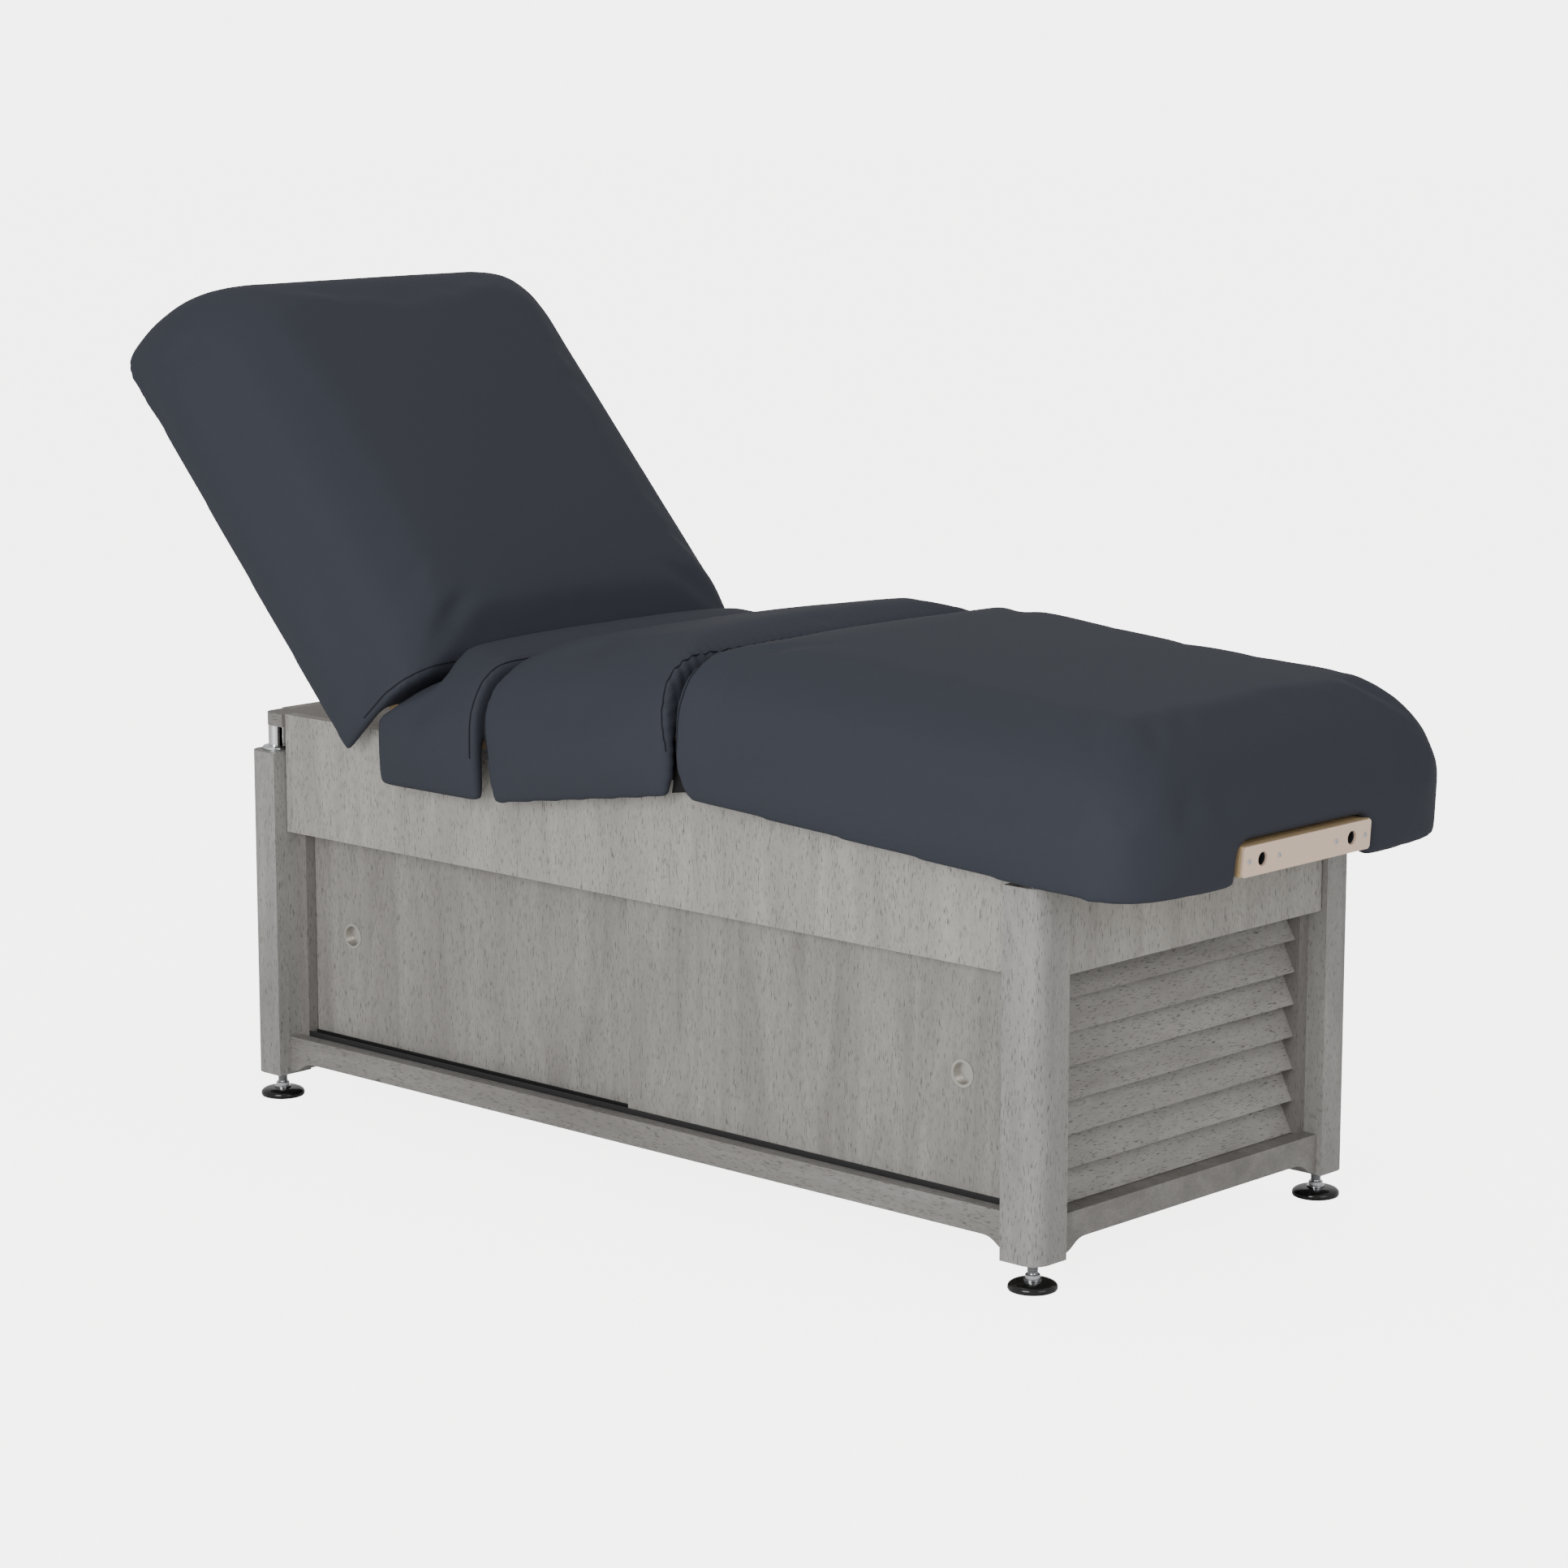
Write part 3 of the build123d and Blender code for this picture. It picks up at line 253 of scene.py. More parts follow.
@dataclass(frozen=True)
class Plywood:
    """Birch plywood, sanded: pale, with a faint long grain."""

    name: str
    pale: str = "#CDB48C"
    deep: str = "#B2966C"
    streak: float = 9 * MM
    roughness: float = 0.62

    def make(self) -> bpy.types.Material:
        """Build the material."""
        material, tree, shader = new_finish(self.name)
        place = add_node(tree, "ShaderNodeTexCoord").outputs["Object"]
        long_grain = add_node(
            tree, "ShaderNodeMapping",
            {"Vector": place, "Scale": (1 / (14 * self.streak), 1 / self.streak, 1 / self.streak)},
        )
        figure = add_node(
            tree, "ShaderNodeTexNoise",
            {"Vector": long_grain.outputs[0], "Scale": 1.0, "Detail": 5.0, "Roughness": 0.6},
        )
        body = add_node(
            tree, "ShaderNodeMix",
            {"Factor": figure.outputs["Fac"], 6: linear(self.deep), 7: linear(self.pale)},
            data_type="RGBA",
        )
        tree.links.new(body.outputs[2], shader.inputs["Base Color"])
        shader.inputs["Roughness"].default_value = self.roughness
        return material


@dataclass(frozen=True)
class PlainFinish:
    """A finish with one colour: plated, moulded or powder-coated, with a little wear in its gloss."""

    name: str
    colour: str
    roughness: float
    metallic: float = 0.0
    uneven: float = 0.05
    cell: float = 14 * MM

    def make(self) -> bpy.types.Material:
        """Build the material."""
        material, tree, shader = new_finish(self.name)
        place = add_node(tree, "ShaderNodeTexCoord").outputs["Object"]
        patches = add_node(
            tree, "ShaderNodeTexNoise", {"Vector": place, "Scale": 1 / self.cell, "Detail": 3.0}
        )
        gloss = add_node(
            tree, "ShaderNodeMapRange",
            {
                "Value": patches.outputs["Fac"],
                "To Min": max(0.02, self.roughness - self.uneven),
                "To Max": self.roughness + self.uneven,
            },
        )
        tree.links.new(gloss.outputs[0], shader.inputs["Roughness"])
        shader.inputs["Base Color"].default_value = linear(self.colour)
        shader.inputs["Metallic"].default_value = self.metallic
        return material


# ---------------------------------------------------------------- meshes


def plain_object(name: str, mesh: bpy.types.Mesh) -> bpy.types.Object:
    """Put a mesh into the scene under a name, at the origin.

    Args:
        name: The piece's name.
        mesh: Its mesh, already in place.

    Returns:
        The new object.
    """
    piece = bpy.data.objects.new(name, mesh)
    bpy.context.scene.collection.objects.link(piece)
    return piece


def joint_place(name: str) -> Vector:
    """Place of a joint of the frame."""
    return Vector(next(j["pos_m"] for j in frame["joints"] if j["name"] == name))


def smooth(piece: bpy.types.Object, angle: float = 40.0) -> None:
    """Shade a piece smooth, and keep the edges that are sharper than an angle in degrees."""
    piece.data.shade_smooth()
    if angle < 180:
        piece.data.set_sharp_from_angle(angle=math.radians(angle))


def baked(piece: bpy.types.Object) -> bpy.types.Mesh:
    """Mesh of a piece with its modifiers worked in."""
    graph = bpy.context.evaluated_depsgraph_get()
    return bpy.data.meshes.new_from_object(piece.evaluated_get(graph), depsgraph=graph)


def settle(piece: bpy.types.Object) -> bpy.types.Object:
    """Work a piece's modifiers into its mesh.

    Args:
        piece: The piece, which has live modifiers.

    Returns:
        The same piece, with none.
    """
    mesh = baked(piece)
    old = piece.data
    piece.modifiers.clear()
    piece.data = mesh
    bpy.data.meshes.remove(old)
    return piece


def lathe(name: str, outline: list[tuple[float, float]], centre: Vector, turns: int = 48) -> bpy.types.Object:
    """Turn an outline about an upright axis.

    Args:
        name: The piece's name.
        outline: Radius and height pairs from the bottom to the top, both ends on the axis.
        centre: Foot of the axis.
        turns: Number of steps round.

    Returns:
        The closed turned piece.
    """
    mesh = bmesh.new()
    rings = []
    for radius, height in outline:
        if radius < 1e-6:
            rings.append([mesh.verts.new(centre + Vector((0, 0, height)))])
            continue
        angles = [2 * math.pi * k / turns for k in range(turns)]
        ring = [Vector((radius * math.cos(t), radius * math.sin(t), height)) for t in angles]
        rings.append([mesh.verts.new(centre + point) for point in ring])
    for low, high in zip(rings, rings[1:]):
        for k in range(turns):
            after = (k + 1) % turns
            corners = [low[k % len(low)], low[after % len(low)], high[after % len(high)], high[k % len(high)]]
            mesh.faces.new(list(dict.fromkeys(corners)))
    bmesh.ops.recalc_face_normals(mesh, faces=mesh.faces)
    data = bpy.data.meshes.new(name)
    mesh.to_mesh(data)
    mesh.free()
    return plain_object(name, data)


def wire_object(name: str, runs: list[list[Vector]]) -> bpy.types.Object:
    """Make an object of bare edges, one chain for each run of points."""
    points = [p for run in runs for p in run]
    edges, first = [], 0
    for run in runs:
        edges += [(first + k, first + k + 1) for k in range(len(run) - 1)]
        first += len(run)
    mesh = bpy.data.meshes.new(name)
    mesh.from_pydata([tuple(p) for p in points], edges, [])
    return plain_object(name, mesh)


# ---------------------------------------------------------------- repeats along a path


@dataclass
class RowMaker:
    """Geometry Nodes tree that sets one small shape at even steps along a path, or at its points."""

    name: str
    at_points: bool = False
    inputs: dict[str, str] = field(default_factory=dict)

    def build(self) -> bpy.types.NodeTree:
        """Build the tree with its named inputs."""
        tree = bpy.data.node_groups.new(self.name, "GeometryNodeTree")
        face = tree.interface
        face.new_socket("Geometry", in_out="OUTPUT", socket_type="NodeSocketGeometry")
        for label, kind in (
            ("Geometry", "NodeSocketGeometry"), ("Step", "NodeSocketFloat"), ("Shape", "NodeSocketObject"),
            ("Core Radius", "NodeSocketFloat"), ("Finish", "NodeSocketMaterial"),
        ):
            socket = face.new_socket(label, in_out="INPUT", socket_type=kind)
            self.inputs[label] = socket.identifier
        given = add_node(tree, "NodeGroupInput").outputs
        shape = add_node(tree, "GeometryNodeObjectInfo", {"Object": given["Shape"]}).outputs["Geometry"]
        if self.at_points:
            row = add_node(
                tree, "GeometryNodeInstanceOnPoints", {"Points": given["Geometry"], "Instance": shape}
            )
            laid = row.outputs[0]
        else:
            path = add_node(tree, "GeometryNodeMeshToCurve", {"Mesh": given["Geometry"]}).outputs[0]
            steps = add_node(
                tree, "GeometryNodeResampleCurve", {"Curve": path, "Length": given["Step"]}, mode="LENGTH"
            )
            tangent = add_node(tree, "GeometryNodeInputTangent").outputs[0]
            turn = add_node(tree, "FunctionNodeAlignRotationToVector", {"Vector": tangent}, axis="X")
            row = add_node(
                tree, "GeometryNodeInstanceOnPoints",
                {"Points": steps.outputs[0], "Instance": shape, "Rotation": turn.outputs[0]},
            )
            section = add_node(
                tree, "GeometryNodeCurvePrimitiveCircle",
                {"Resolution": 6, "Radius": given["Core Radius"]},
            )
            core = add_node(
                tree, "GeometryNodeCurveToMesh",
                {"Curve": path, "Profile Curve": section.outputs[0], "Fill Caps": True},
            )
            both = add_node(tree, "GeometryNodeJoinGeometry", {"Geometry": row.outputs[0]})
            tree.links.new(core.outputs[0], both.inputs[0])
            laid = both.outputs[0]
        real = add_node(tree, "GeometryNodeRealizeInstances", {"Geometry": laid})
        dressed = add_node(
            tree, "GeometryNodeSetMaterial", {"Geometry": real.outputs[0], "Material": given["Finish"]}
        )
        add_node(tree, "NodeGroupOutput", {0: dressed.outputs[0]})
        return tree

    def lay(
        self,
        name: str,
        runs: list[list[Vector]],
        shape: bpy.types.Object,
        finish: bpy.types.Material,
        step: float = 0.0,
        core: float = 0.0,
    ) -> bpy.types.Object:
        """Lay the row and turn it into a plain mesh.

        Args:
            name: The piece's name.
            runs: Chains of points that the row follows.
            shape: The small shape, at the origin, lying along X.
            finish: Material of the row.
            step: Distance between two shapes.
            core: Radius of the cord that runs through them.

        Returns:
            The finished piece.
        """
        piece = wire_object(name, runs)
        tree = self.build()
        modifier = piece.modifiers.new("row", "NODES")
        modifier.node_group = tree
        for label, value in (("Step", step), ("Shape", shape), ("Core Radius", core), ("Finish", finish)):
            modifier[self.inputs[label]] = value
        settle(piece)
        return piece


# ---------------------------------------------------------------- finishes of this table


@dataclass
class Workshop:
    """The table's finishes, each made once."""

    made: dict[str, bpy.types.Material] = field(default_factory=dict)

    def __post_init__(self) -> None:
        """Make every finish."""
        for finish in (
            GreyOakLaminate("grey_oak_upright", Grain.UPRIGHT),
            # The apron, post and slat copies of the grey oak are painted lighter than the door copy: painted
            # light on the parts that catch more light.
            GreyOakLaminate("grey_oak_apron", Grain.UPRIGHT, pale="#ACA9A3", deep="#8D8A85"),
            GreyOakLaminate("grey_oak_post", Grain.UPRIGHT, pale="#9E9C99", deep="#807E7B"),
            GreyOakLaminate("grey_oak_slat", Grain.ACROSS, pale="#A9A6A2", deep="#827F7C"),
            # The rail and carcass copies of the grey oak are painted darker: painted shade on the deck and
            # rails, on the stiles in the apron's shadow, and on the cabinet end that faces away from the
            # light.
            GreyOakLaminate("grey_oak_rail", Grain.ALONG, pale="#8E8B88", deep="#716E6B"),
            GreyOakLaminate("grey_oak_carcass", Grain.UPRIGHT, pale="#85827F", deep="#6B6865"),
            UpholsteryVinyl("slate_vinyl"),
            # The seam's vinyl is darker than the cover. The sewn seam is real; its darkness is painted shade
            # of the sewn groove.
            UpholsteryVinyl("slate_vinyl_seam_painted_shade", colour="#1E2027", roughness=0.75),
            Plywood("birch_plywood"),
            PlainFinish("chrome_plate", "#D4D5D8", 0.10, 1.0, 0.03),
            PlainFinish("zinc_plated_steel", "#A9ABAE", 0.34, 1.0, 0.07),
            PlainFinish("satin_nickel", "#BDBAB4", 0.30, 1.0, 0.05),
            PlainFinish("gloss_black_abs", "#121212", 0.16, 0.0, 0.03),
            PlainFinish("satin_black_nylon", "#1C1C1D", 0.46),
            PlainFinish("black_powder_coat", "#202124", 0.42),
            PlainFinish("champagne_anodised_aluminium", "#EBCFB8", 0.38, 0.25, 0.04),
            # Near-black finish of the knee flaps: painted shade in the notch under the knee.
            PlainFinish("painted_shade_black_cloth", "#0B0B0D", 0.9),
        ):
            self.made[finish.name] = finish.make()

    def __getitem__(self, name: str) -> bpy.types.Material:
        """Finish with that name."""
        return self.made[name]

    def dress(self, piece: bpy.types.Object, name: str) -> bpy.types.Object:
        """Give a piece one finish."""
        piece.data.materials.clear()
        piece.data.materials.append(self.made[name])
        return piece


# ---------------------------------------------------------------- cabinet base and deck


@dataclass
class Carpentry:
    """The frame's own solids that are shown as they are, each with its finish."""

    shop: Workshop
    finish_of: dict[str, str] = field(
        default_factory=lambda: {
            # corner_post, aprons and louvre_slats get lighter copies of the same grey oak: painted light.
            "corner_post": "grey_oak_post",
            "door_front": "grey_oak_upright",
            "door_back": "grey_oak_upright",
            "door_tracks": "satin_black_nylon",
            # door_stiles, deck, the rails, louvre_stiles and cabinet get darker copies of the same grey oak:
            # painted shade.
            "door_stiles": "grey_oak_carcass",
            "aprons": "grey_oak_apron",
            "deck_brackets": "zinc_plated_steel",
            "deck": "grey_oak_rail",
            "bottom_rails": "grey_oak_rail",
            "top_rails": "grey_oak_rail",
            "louvre_slats": "grey_oak_slat",
            "louvre_stiles": "grey_oak_carcass",
            "cabinet": "grey_oak_carcass",
            "lift_columns": "zinc_plated_steel",
            "lift": "chrome_plate",
            "pull": "satin_nickel",
            "back_drive": "chrome_plate",
            "knee_drive": "chrome_plate",
            "drive_motors": "black_powder_coat",
            "drive_tubes": "zinc_plated_steel",
            "outlet_plate": "champagne_anodised_aluminium",
            "pump_motor": "black_powder_coat",
            "control_box": "black_powder_coat",
            "power_inlet": "satin_black_nylon",
            "seat_board": "birch_plywood",
            "back_board": "birch_plywood",
            "thigh_board": "birch_plywood",
            "leg_board": "birch_plywood",
            "leg_end_rail": "birch_plywood",
        }
    )
    other: str = "zinc_plated_steel"

    def finish_for(self, node: str) -> str:
        """Name of the finish whose key is the longest start of the node's name."""
        keys = sorted((k for k in self.finish_of if node.startswith(k)), key=len)
        return self.finish_of[keys[-1]] if keys else self.other

    def dress(self) -> None:
        """Give every solid its finish."""
        for node, piece in frame["nodes"].items():
            self.shop.dress(piece, self.finish_for(node))
            log.info("%s: %s", node, self.finish_for(node))


# ---------------------------------------------------------------- levelling feet


@dataclass
class LevellingFoot:
    """One glide with its nut and threaded stem, turned to finer outlines than the frame's."""

    shop: Workshop
    corner: str
    flange: float = 5 * MM
    crown: float = 12.6 * MM
    neck_radius: float = 11 * MM
    stem_radius: float = 6.9 * MM
    thread_pitch: float = 2.0 * MM
    thread_depth: float = 0.7 * MM
    nut_low: float = 13 * MM
    nut_high: float = 20.5 * MM
    nut_radius: float = 11.8 * MM

    def glide_outline(self, radius: float) -> list[tuple[float, float]]:
        """Domed disc: flat sole, rounded rim and a low swept dome up to the neck."""
        outline = [(0.0, 0.0), (radius - 3 * MM, 0.0), (radius - 1 * MM, 0.8 * MM), (radius, 2.6 * MM)]
        steps = 9
        for k in range(steps + 1):
            t = math.pi / 2 * k / steps
            reach = self.neck_radius + (radius - self.neck_radius) * math.cos(t) ** 0.8
            outline.append((reach, self.flange + (self.crown - self.flange) * math.sin(t)))
        return outline + [(self.neck_radius - 2 * MM, self.crown + 0.3 * MM), (0.0, self.crown + 0.3 * MM)]

    def stem_outline(self, top: float) -> list[tuple[float, float]]:
        """Washer, rounded collar and a thread of ridges up to the top."""
        collar = self.nut_radius - 2.4 * MM
        outline = [
            (0.0, self.nut_low), (self.nut_radius, self.nut_low), (self.nut_radius, self.nut_low + 1.6 * MM),
            (collar, self.nut_low + 2.2 * MM), (collar, self.nut_high - 1 * MM),
            (self.nut_radius - 3.4 * MM, self.nut_high), (self.stem_radius, self.nut_high),
        ]
        height = self.nut_high
        while height + self.thread_pitch < top:
            outline.append((self.stem_radius - self.thread_depth, height + 0.3 * self.thread_pitch))
            outline.append((self.stem_radius, height + 0.8 * self.thread_pitch))
            height += self.thread_pitch
        return outline + [(self.stem_radius, top), (0.0, top)]

    def build(self) -> list[bpy.types.Object]:
        """Build the glide and the stem, which ride on the foot's body."""
        node = f"levelling_foot_{self.corner}"
        low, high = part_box(node)
        centre = Vector(((low.x + high.x) / 2, (low.y + high.y) / 2, low.z))
        glide = lathe(f"glide_{self.corner}", self.glide_outline((high.x - low.x) / 2), centre)
        stem = lathe(f"foot_stem_{self.corner}", self.stem_outline(high.z - low.z), centre, 36)
        self.shop.dress(glide, "gloss_black_abs")
        self.shop.dress(stem, "chrome_plate")
        for piece, slot in ((glide, "foot_black"), (stem, "chrome_trim")):
            smooth(piece)
            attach(piece, node)
        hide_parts(node)
        return [glide, stem]


# ---------------------------------------------------------------- padded sections


@dataclass
class Pad:
    """One upholstered section: its frame, its shape in section coordinates and its swell.

    A point of the section is (a, y, n): a along it from its hinge, y across, n above the hinge level.
    The start is the end by the hinge and the stop is the far end. Crown and rise shape the top, the
    tucks and the shrink draw the cover in, the pushes and the growth fill the far corners, and the
    falls and the gap lower and clear an end that meets a neighbour.
    """

    shop: Workshop
    name: str
    node: str
    body: str
    hinge: Vector
    angle: float
    towards: int
    crown: float
    rise: float
    seam_ends: tuple[bool, bool]
    end_tuck: float = 0.0
    gathers: bool = False
    voxel: float = 8 * MM
    skirt_wall: float = 29 * MM
    board_top: float = 8 * MM
    shrink: float = 4 * MM
    cap: float = 9 * MM
    end_room: float = 70 * MM
    side_tuck: float = 3 * MM
    end_grow: float = 0.0
    corner_push: float = 0.0
    hem_push: float = 0.0
    corner_run: float = 150 * MM
    end_fall: float = 0.0
    start_fall: float = 0.0
    start_gap: float = 0.0
    hem_drop: float = 0.0
    fall_run: float = 75 * MM
    pressure: float = 4.0
    frames: int = 20
    gather_pitch: float = 17 * MM
    gather_depth: float = 1.6 * MM
    wall_in: float = 2 * MM
    wall_out: float = 4 * MM
    crown_power: float = 2.4
    crown_at_end: float = 0.55
    crown_run: float = 120 * MM
    hem_start: float = 0.3
    hem_push_from: float = -60 * MM
    hem_push_full: float = 40 * MM
    stiffness: float = 25.0
    bending: float = 4.0
    swell_at_end: float = 0.45
    relax_rounds: int = 11
    hem_wave: float = 2.5 * MM
    hem_wave_scale: float = 14.0
    broad_wave: float = 1.2 * MM
    broad_wave_scale: float = 5.0
    seam_inset: float = 9 * MM
    seam_steps: int = 150
    stitch_pitch: float = 4 * MM
    piping_radius: float = 1.1 * MM

    def __post_init__(self) -> None:
        """Work out the section's directions."""
        turn = math.radians(self.angle)
        self.along = np.array((self.towards * math.cos(turn), 0.0, math.sin(turn)))
        self.up = np.array((-self.towards * math.sin(turn), 0.0, math.cos(turn)))
        self.base = np.array(self.hinge)

    def local(self, points: np.ndarray) -> np.ndarray:
        """Section coordinates of points of the frame."""
        away = points - self.base
        return np.column_stack((away @ self.along, away[:, 1], away @ self.up))

    def world(self, points: np.ndarray) -> np.ndarray:
        """Frame coordinates of points of the section."""
        out = self.base + np.outer(points[:, 0], self.along) + np.outer(points[:, 2], self.up)
        out[:, 1] += points[:, 1]
        return out

    @staticmethod
    def ramp(values: np.ndarray, low: float, high: float) -> np.ndarray:
        """Smooth step from 0 at low to 1 at high."""
        t = np.clip((values - low) / (high - low), 0, 1)
        return t * t * (3 - 2 * t)

    def shell(self) -> bpy.types.Object:
        """Closed even mesh of the section's solid."""
        source = bmesh.new()
        source.from_mesh(frame["nodes"][self.node].data)
        bmesh.ops.remove_doubles(source, verts=source.verts, dist=1e-5)
        bmesh.ops.recalc_face_normals(source, faces=source.faces)
        mesh = bpy.data.meshes.new(self.name)
        source.to_mesh(mesh)
        source.free()
        piece = plain_object(self.name, mesh)
        remesh = piece.modifiers.new("even", "REMESH")
        remesh.mode = "VOXEL"
        remesh.voxel_size = self.voxel
        return settle(piece)

    @staticmethod
    def coordinates(piece: bpy.types.Object) -> np.ndarray:
        """The piece's vertices as an array."""
        flat = np.zeros(len(piece.data.vertices) * 3)
        piece.data.vertices.foreach_get("co", flat)
        return flat.reshape(-1, 3)

    @staticmethod
    def move_to(piece: bpy.types.Object, points: np.ndarray) -> None:
        """Put the piece's vertices at these points."""
        piece.data.vertices.foreach_set("co", points.ravel())
        piece.data.update()

    def model(self, points: np.ndarray) -> np.ndarray:
        """Shape the section before it swells: crown, shrunk cover and tucked skirts.

        Args:
            points: Section coordinates of the even mesh.

        Returns:
            The moved section coordinates.
        """
        a, y, n = points.T.copy()
        even_a, even_y = points[:, 0], np.abs(points[:, 1])
        half = np.abs(y).max()
        start, stop, top = a.min(), a.max(), n.max()
        drop = -n.min()
        outer = self.ramp(np.abs(y), half - self.skirt_wall + self.wall_in, half - self.wall_out)
        upper = self.ramp(n, self.board_top + 5 * MM, top)
        below = np.clip(-n / drop, 0, 1) ** 2
        near_end = np.minimum(a - start, stop - a)
        middle = 1 - np.clip(np.abs(y) / half, 0, 1) ** self.crown_power
        share = self.crown_at_end + (1 - self.crown_at_end) * self.ramp(near_end, 0, self.crown_run)
        n += upper * ((self.rise - top - self.shrink) + self.crown * middle * share)
        n -= upper * self.end_fall * (1 - self.ramp(stop - a, 0, self.fall_run))
        n -= upper * self.start_fall * (1 - self.ramp(a - start, 0, self.fall_run))
        a += self.start_gap * (1 - self.ramp(a - start, 8 * MM, 0.5 * self.fall_run))
        n -= self.hem_drop * self.ramp(-n, self.hem_start * drop, drop)
        y -= np.sign(y) * outer * (self.shrink + self.side_tuck * below)
        if self.end_tuck:
            face = self.ramp(a, stop - self.skirt_wall + self.wall_in, stop - self.wall_out)
            a -= face * (self.shrink + self.end_tuck * below)
            cornered = self.ramp(even_a, stop - self.corner_run, stop)
            cornered *= self.ramp(even_y, half - self.corner_run, half)
            low = self.ramp(-points[:, 2], self.hem_push_from, self.hem_push_full)
            cornered *= self.corner_push + self.hem_push * low
            a += cornered + self.ramp(even_a, start, stop) * self.end_grow
            y += np.sign(y) * cornered
        return np.column_stack((a, y, n))

    def held(self, points: np.ndarray) -> np.ndarray:
        """Which points of the section stay put: the hollow under the board and the skirts' hems."""
        a, y, n = points.T
        half, drop = np.abs(y).max(), -n.min()
        inside = np.abs(y) < half - self.skirt_wall + self.wall_out
        inside &= n < self.board_top + 6 * MM
        if self.end_tuck:
            inside &= a < a.max() - self.skirt_wall + self.wall_out
        return inside | (n < 6 * MM - drop)

    def swell(self, piece: bpy.types.Object, rest: np.ndarray) -> np.ndarray:
        """Blow the cover up with a short cloth simulation.

        Args:
            piece: The shaped section.
            rest: Its section coordinates.

        Returns:
            How far each point moved, in section coordinates.
        """
        pinned = piece.vertex_groups.new(name="held")
        pinned.add([int(i) for i in np.nonzero(self.held(rest))[0]], 1.0, "REPLACE")
        cloth = piece.modifiers.new("swell", "CLOTH")
        cloth.settings.use_pressure = True
        cloth.settings.uniform_pressure_force = self.pressure
        cloth.settings.effector_weights.gravity = 0.0
        cloth.settings.vertex_group_mass = "held"
        cloth.settings.quality = 4
        cloth.settings.tension_stiffness = self.stiffness
        cloth.settings.compression_stiffness = self.stiffness
        cloth.settings.bending_stiffness = self.bending
        cloth.point_cache.frame_start = 1
        cloth.point_cache.frame_end = self.frames
        for number in range(1, self.frames + 1):
            bpy.context.scene.frame_set(number)
        graph = bpy.context.evaluated_depsgraph_get()
        swollen = piece.evaluated_get(graph).data
        flat = np.zeros(len(swollen.vertices) * 3)
        swollen.vertices.foreach_get("co", flat)
        moved = self.local(flat.reshape(-1, 3)) - rest
        piece.modifiers.clear()
        piece.vertex_groups.clear()
        bpy.context.scene.frame_set(1)
        return moved

    def ripple(self, points: np.ndarray) -> np.ndarray:
        """Slight waves of the cover: along the hems, and the gathers along a sewn end."""
        a, y, n = points.T.copy()
        half, stop, drop = np.abs(y).max(), a.max(), -n.min()
        hem = self.ramp(-n, self.hem_start * drop, drop) * self.ramp(np.abs(y), half - 14 * MM, half - 4 * MM)
        wave = np.array([noise.noise((p * self.hem_wave_scale, self.angle, 3.0)) for p in a])
        y -= np.sign(y) * hem * (0.5 + 0.5 * wave) * self.hem_wave
        scale = self.broad_wave_scale
        broad = np.array([noise.noise((p * scale, q * scale, self.angle)) for p, q in zip(a, y)])
        n += self.ramp(n, 50 * MM, 100 * MM) * broad * self.broad_wave
        if self.gathers:
            near = 1 - self.ramp(stop - a, 4 * MM, 34 * MM)
            turn = np.where(np.abs(y) < half - 30 * MM, y, n + half)
            fold = 0.5 + 0.5 * np.sin(2 * math.pi * turn / self.gather_pitch)
            n -= near * fold * self.gather_depth * self.ramp(n, 20 * MM, 60 * MM)
            a -= near * fold * self.gather_depth
        return np.column_stack((a, y, n))

    def build(self) -> list[bpy.types.Object]:
        """Build the pad and its seams.

        Returns:
            The padded piece, then its seam where it has one.
        """
        piece = self.shell()
        even = self.local(self.coordinates(piece))
        start, stop = even[:, 0].min(), even[:, 0].max()
        rest = self.model(even)
        self.move_to(piece, self.world(rest))
        moved = self.swell(piece, rest)
        reach = np.linalg.norm(moved, axis=1)
        moved *= np.minimum(1.0, self.cap / np.maximum(reach, 1e-9))[:, None]
        free = np.where(
            rest[:, 0] > (start + stop) / 2,
            1.0 if self.end_tuck else self.ramp(stop - rest[:, 0], 0, self.end_room),
            self.ramp(rest[:, 0] - start, 0, self.end_room),
        )
        moved[:, 0] *= free
        moved[:, 1:] *= (self.swell_at_end + (1 - self.swell_at_end) * free)[:, None]
        soft = rest + moved
        self.move_to(piece, self.world(soft))
        relax = piece.modifiers.new("relax", "SMOOTH")
        relax.factor = 0.5
        relax.iterations = self.relax_rounds
        finer = piece.modifiers.new("finer", "SUBSURF")
        finer.levels = finer.render_levels = 1
        settle(piece)
        self.move_to(piece, self.world(self.ripple(self.local(self.coordinates(piece)))))
        smooth(piece, 180)
        self.shop.dress(piece, "slate_vinyl")
        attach(piece, self.body)
        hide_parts(self.node)
        return [piece, *self.seams(piece)]

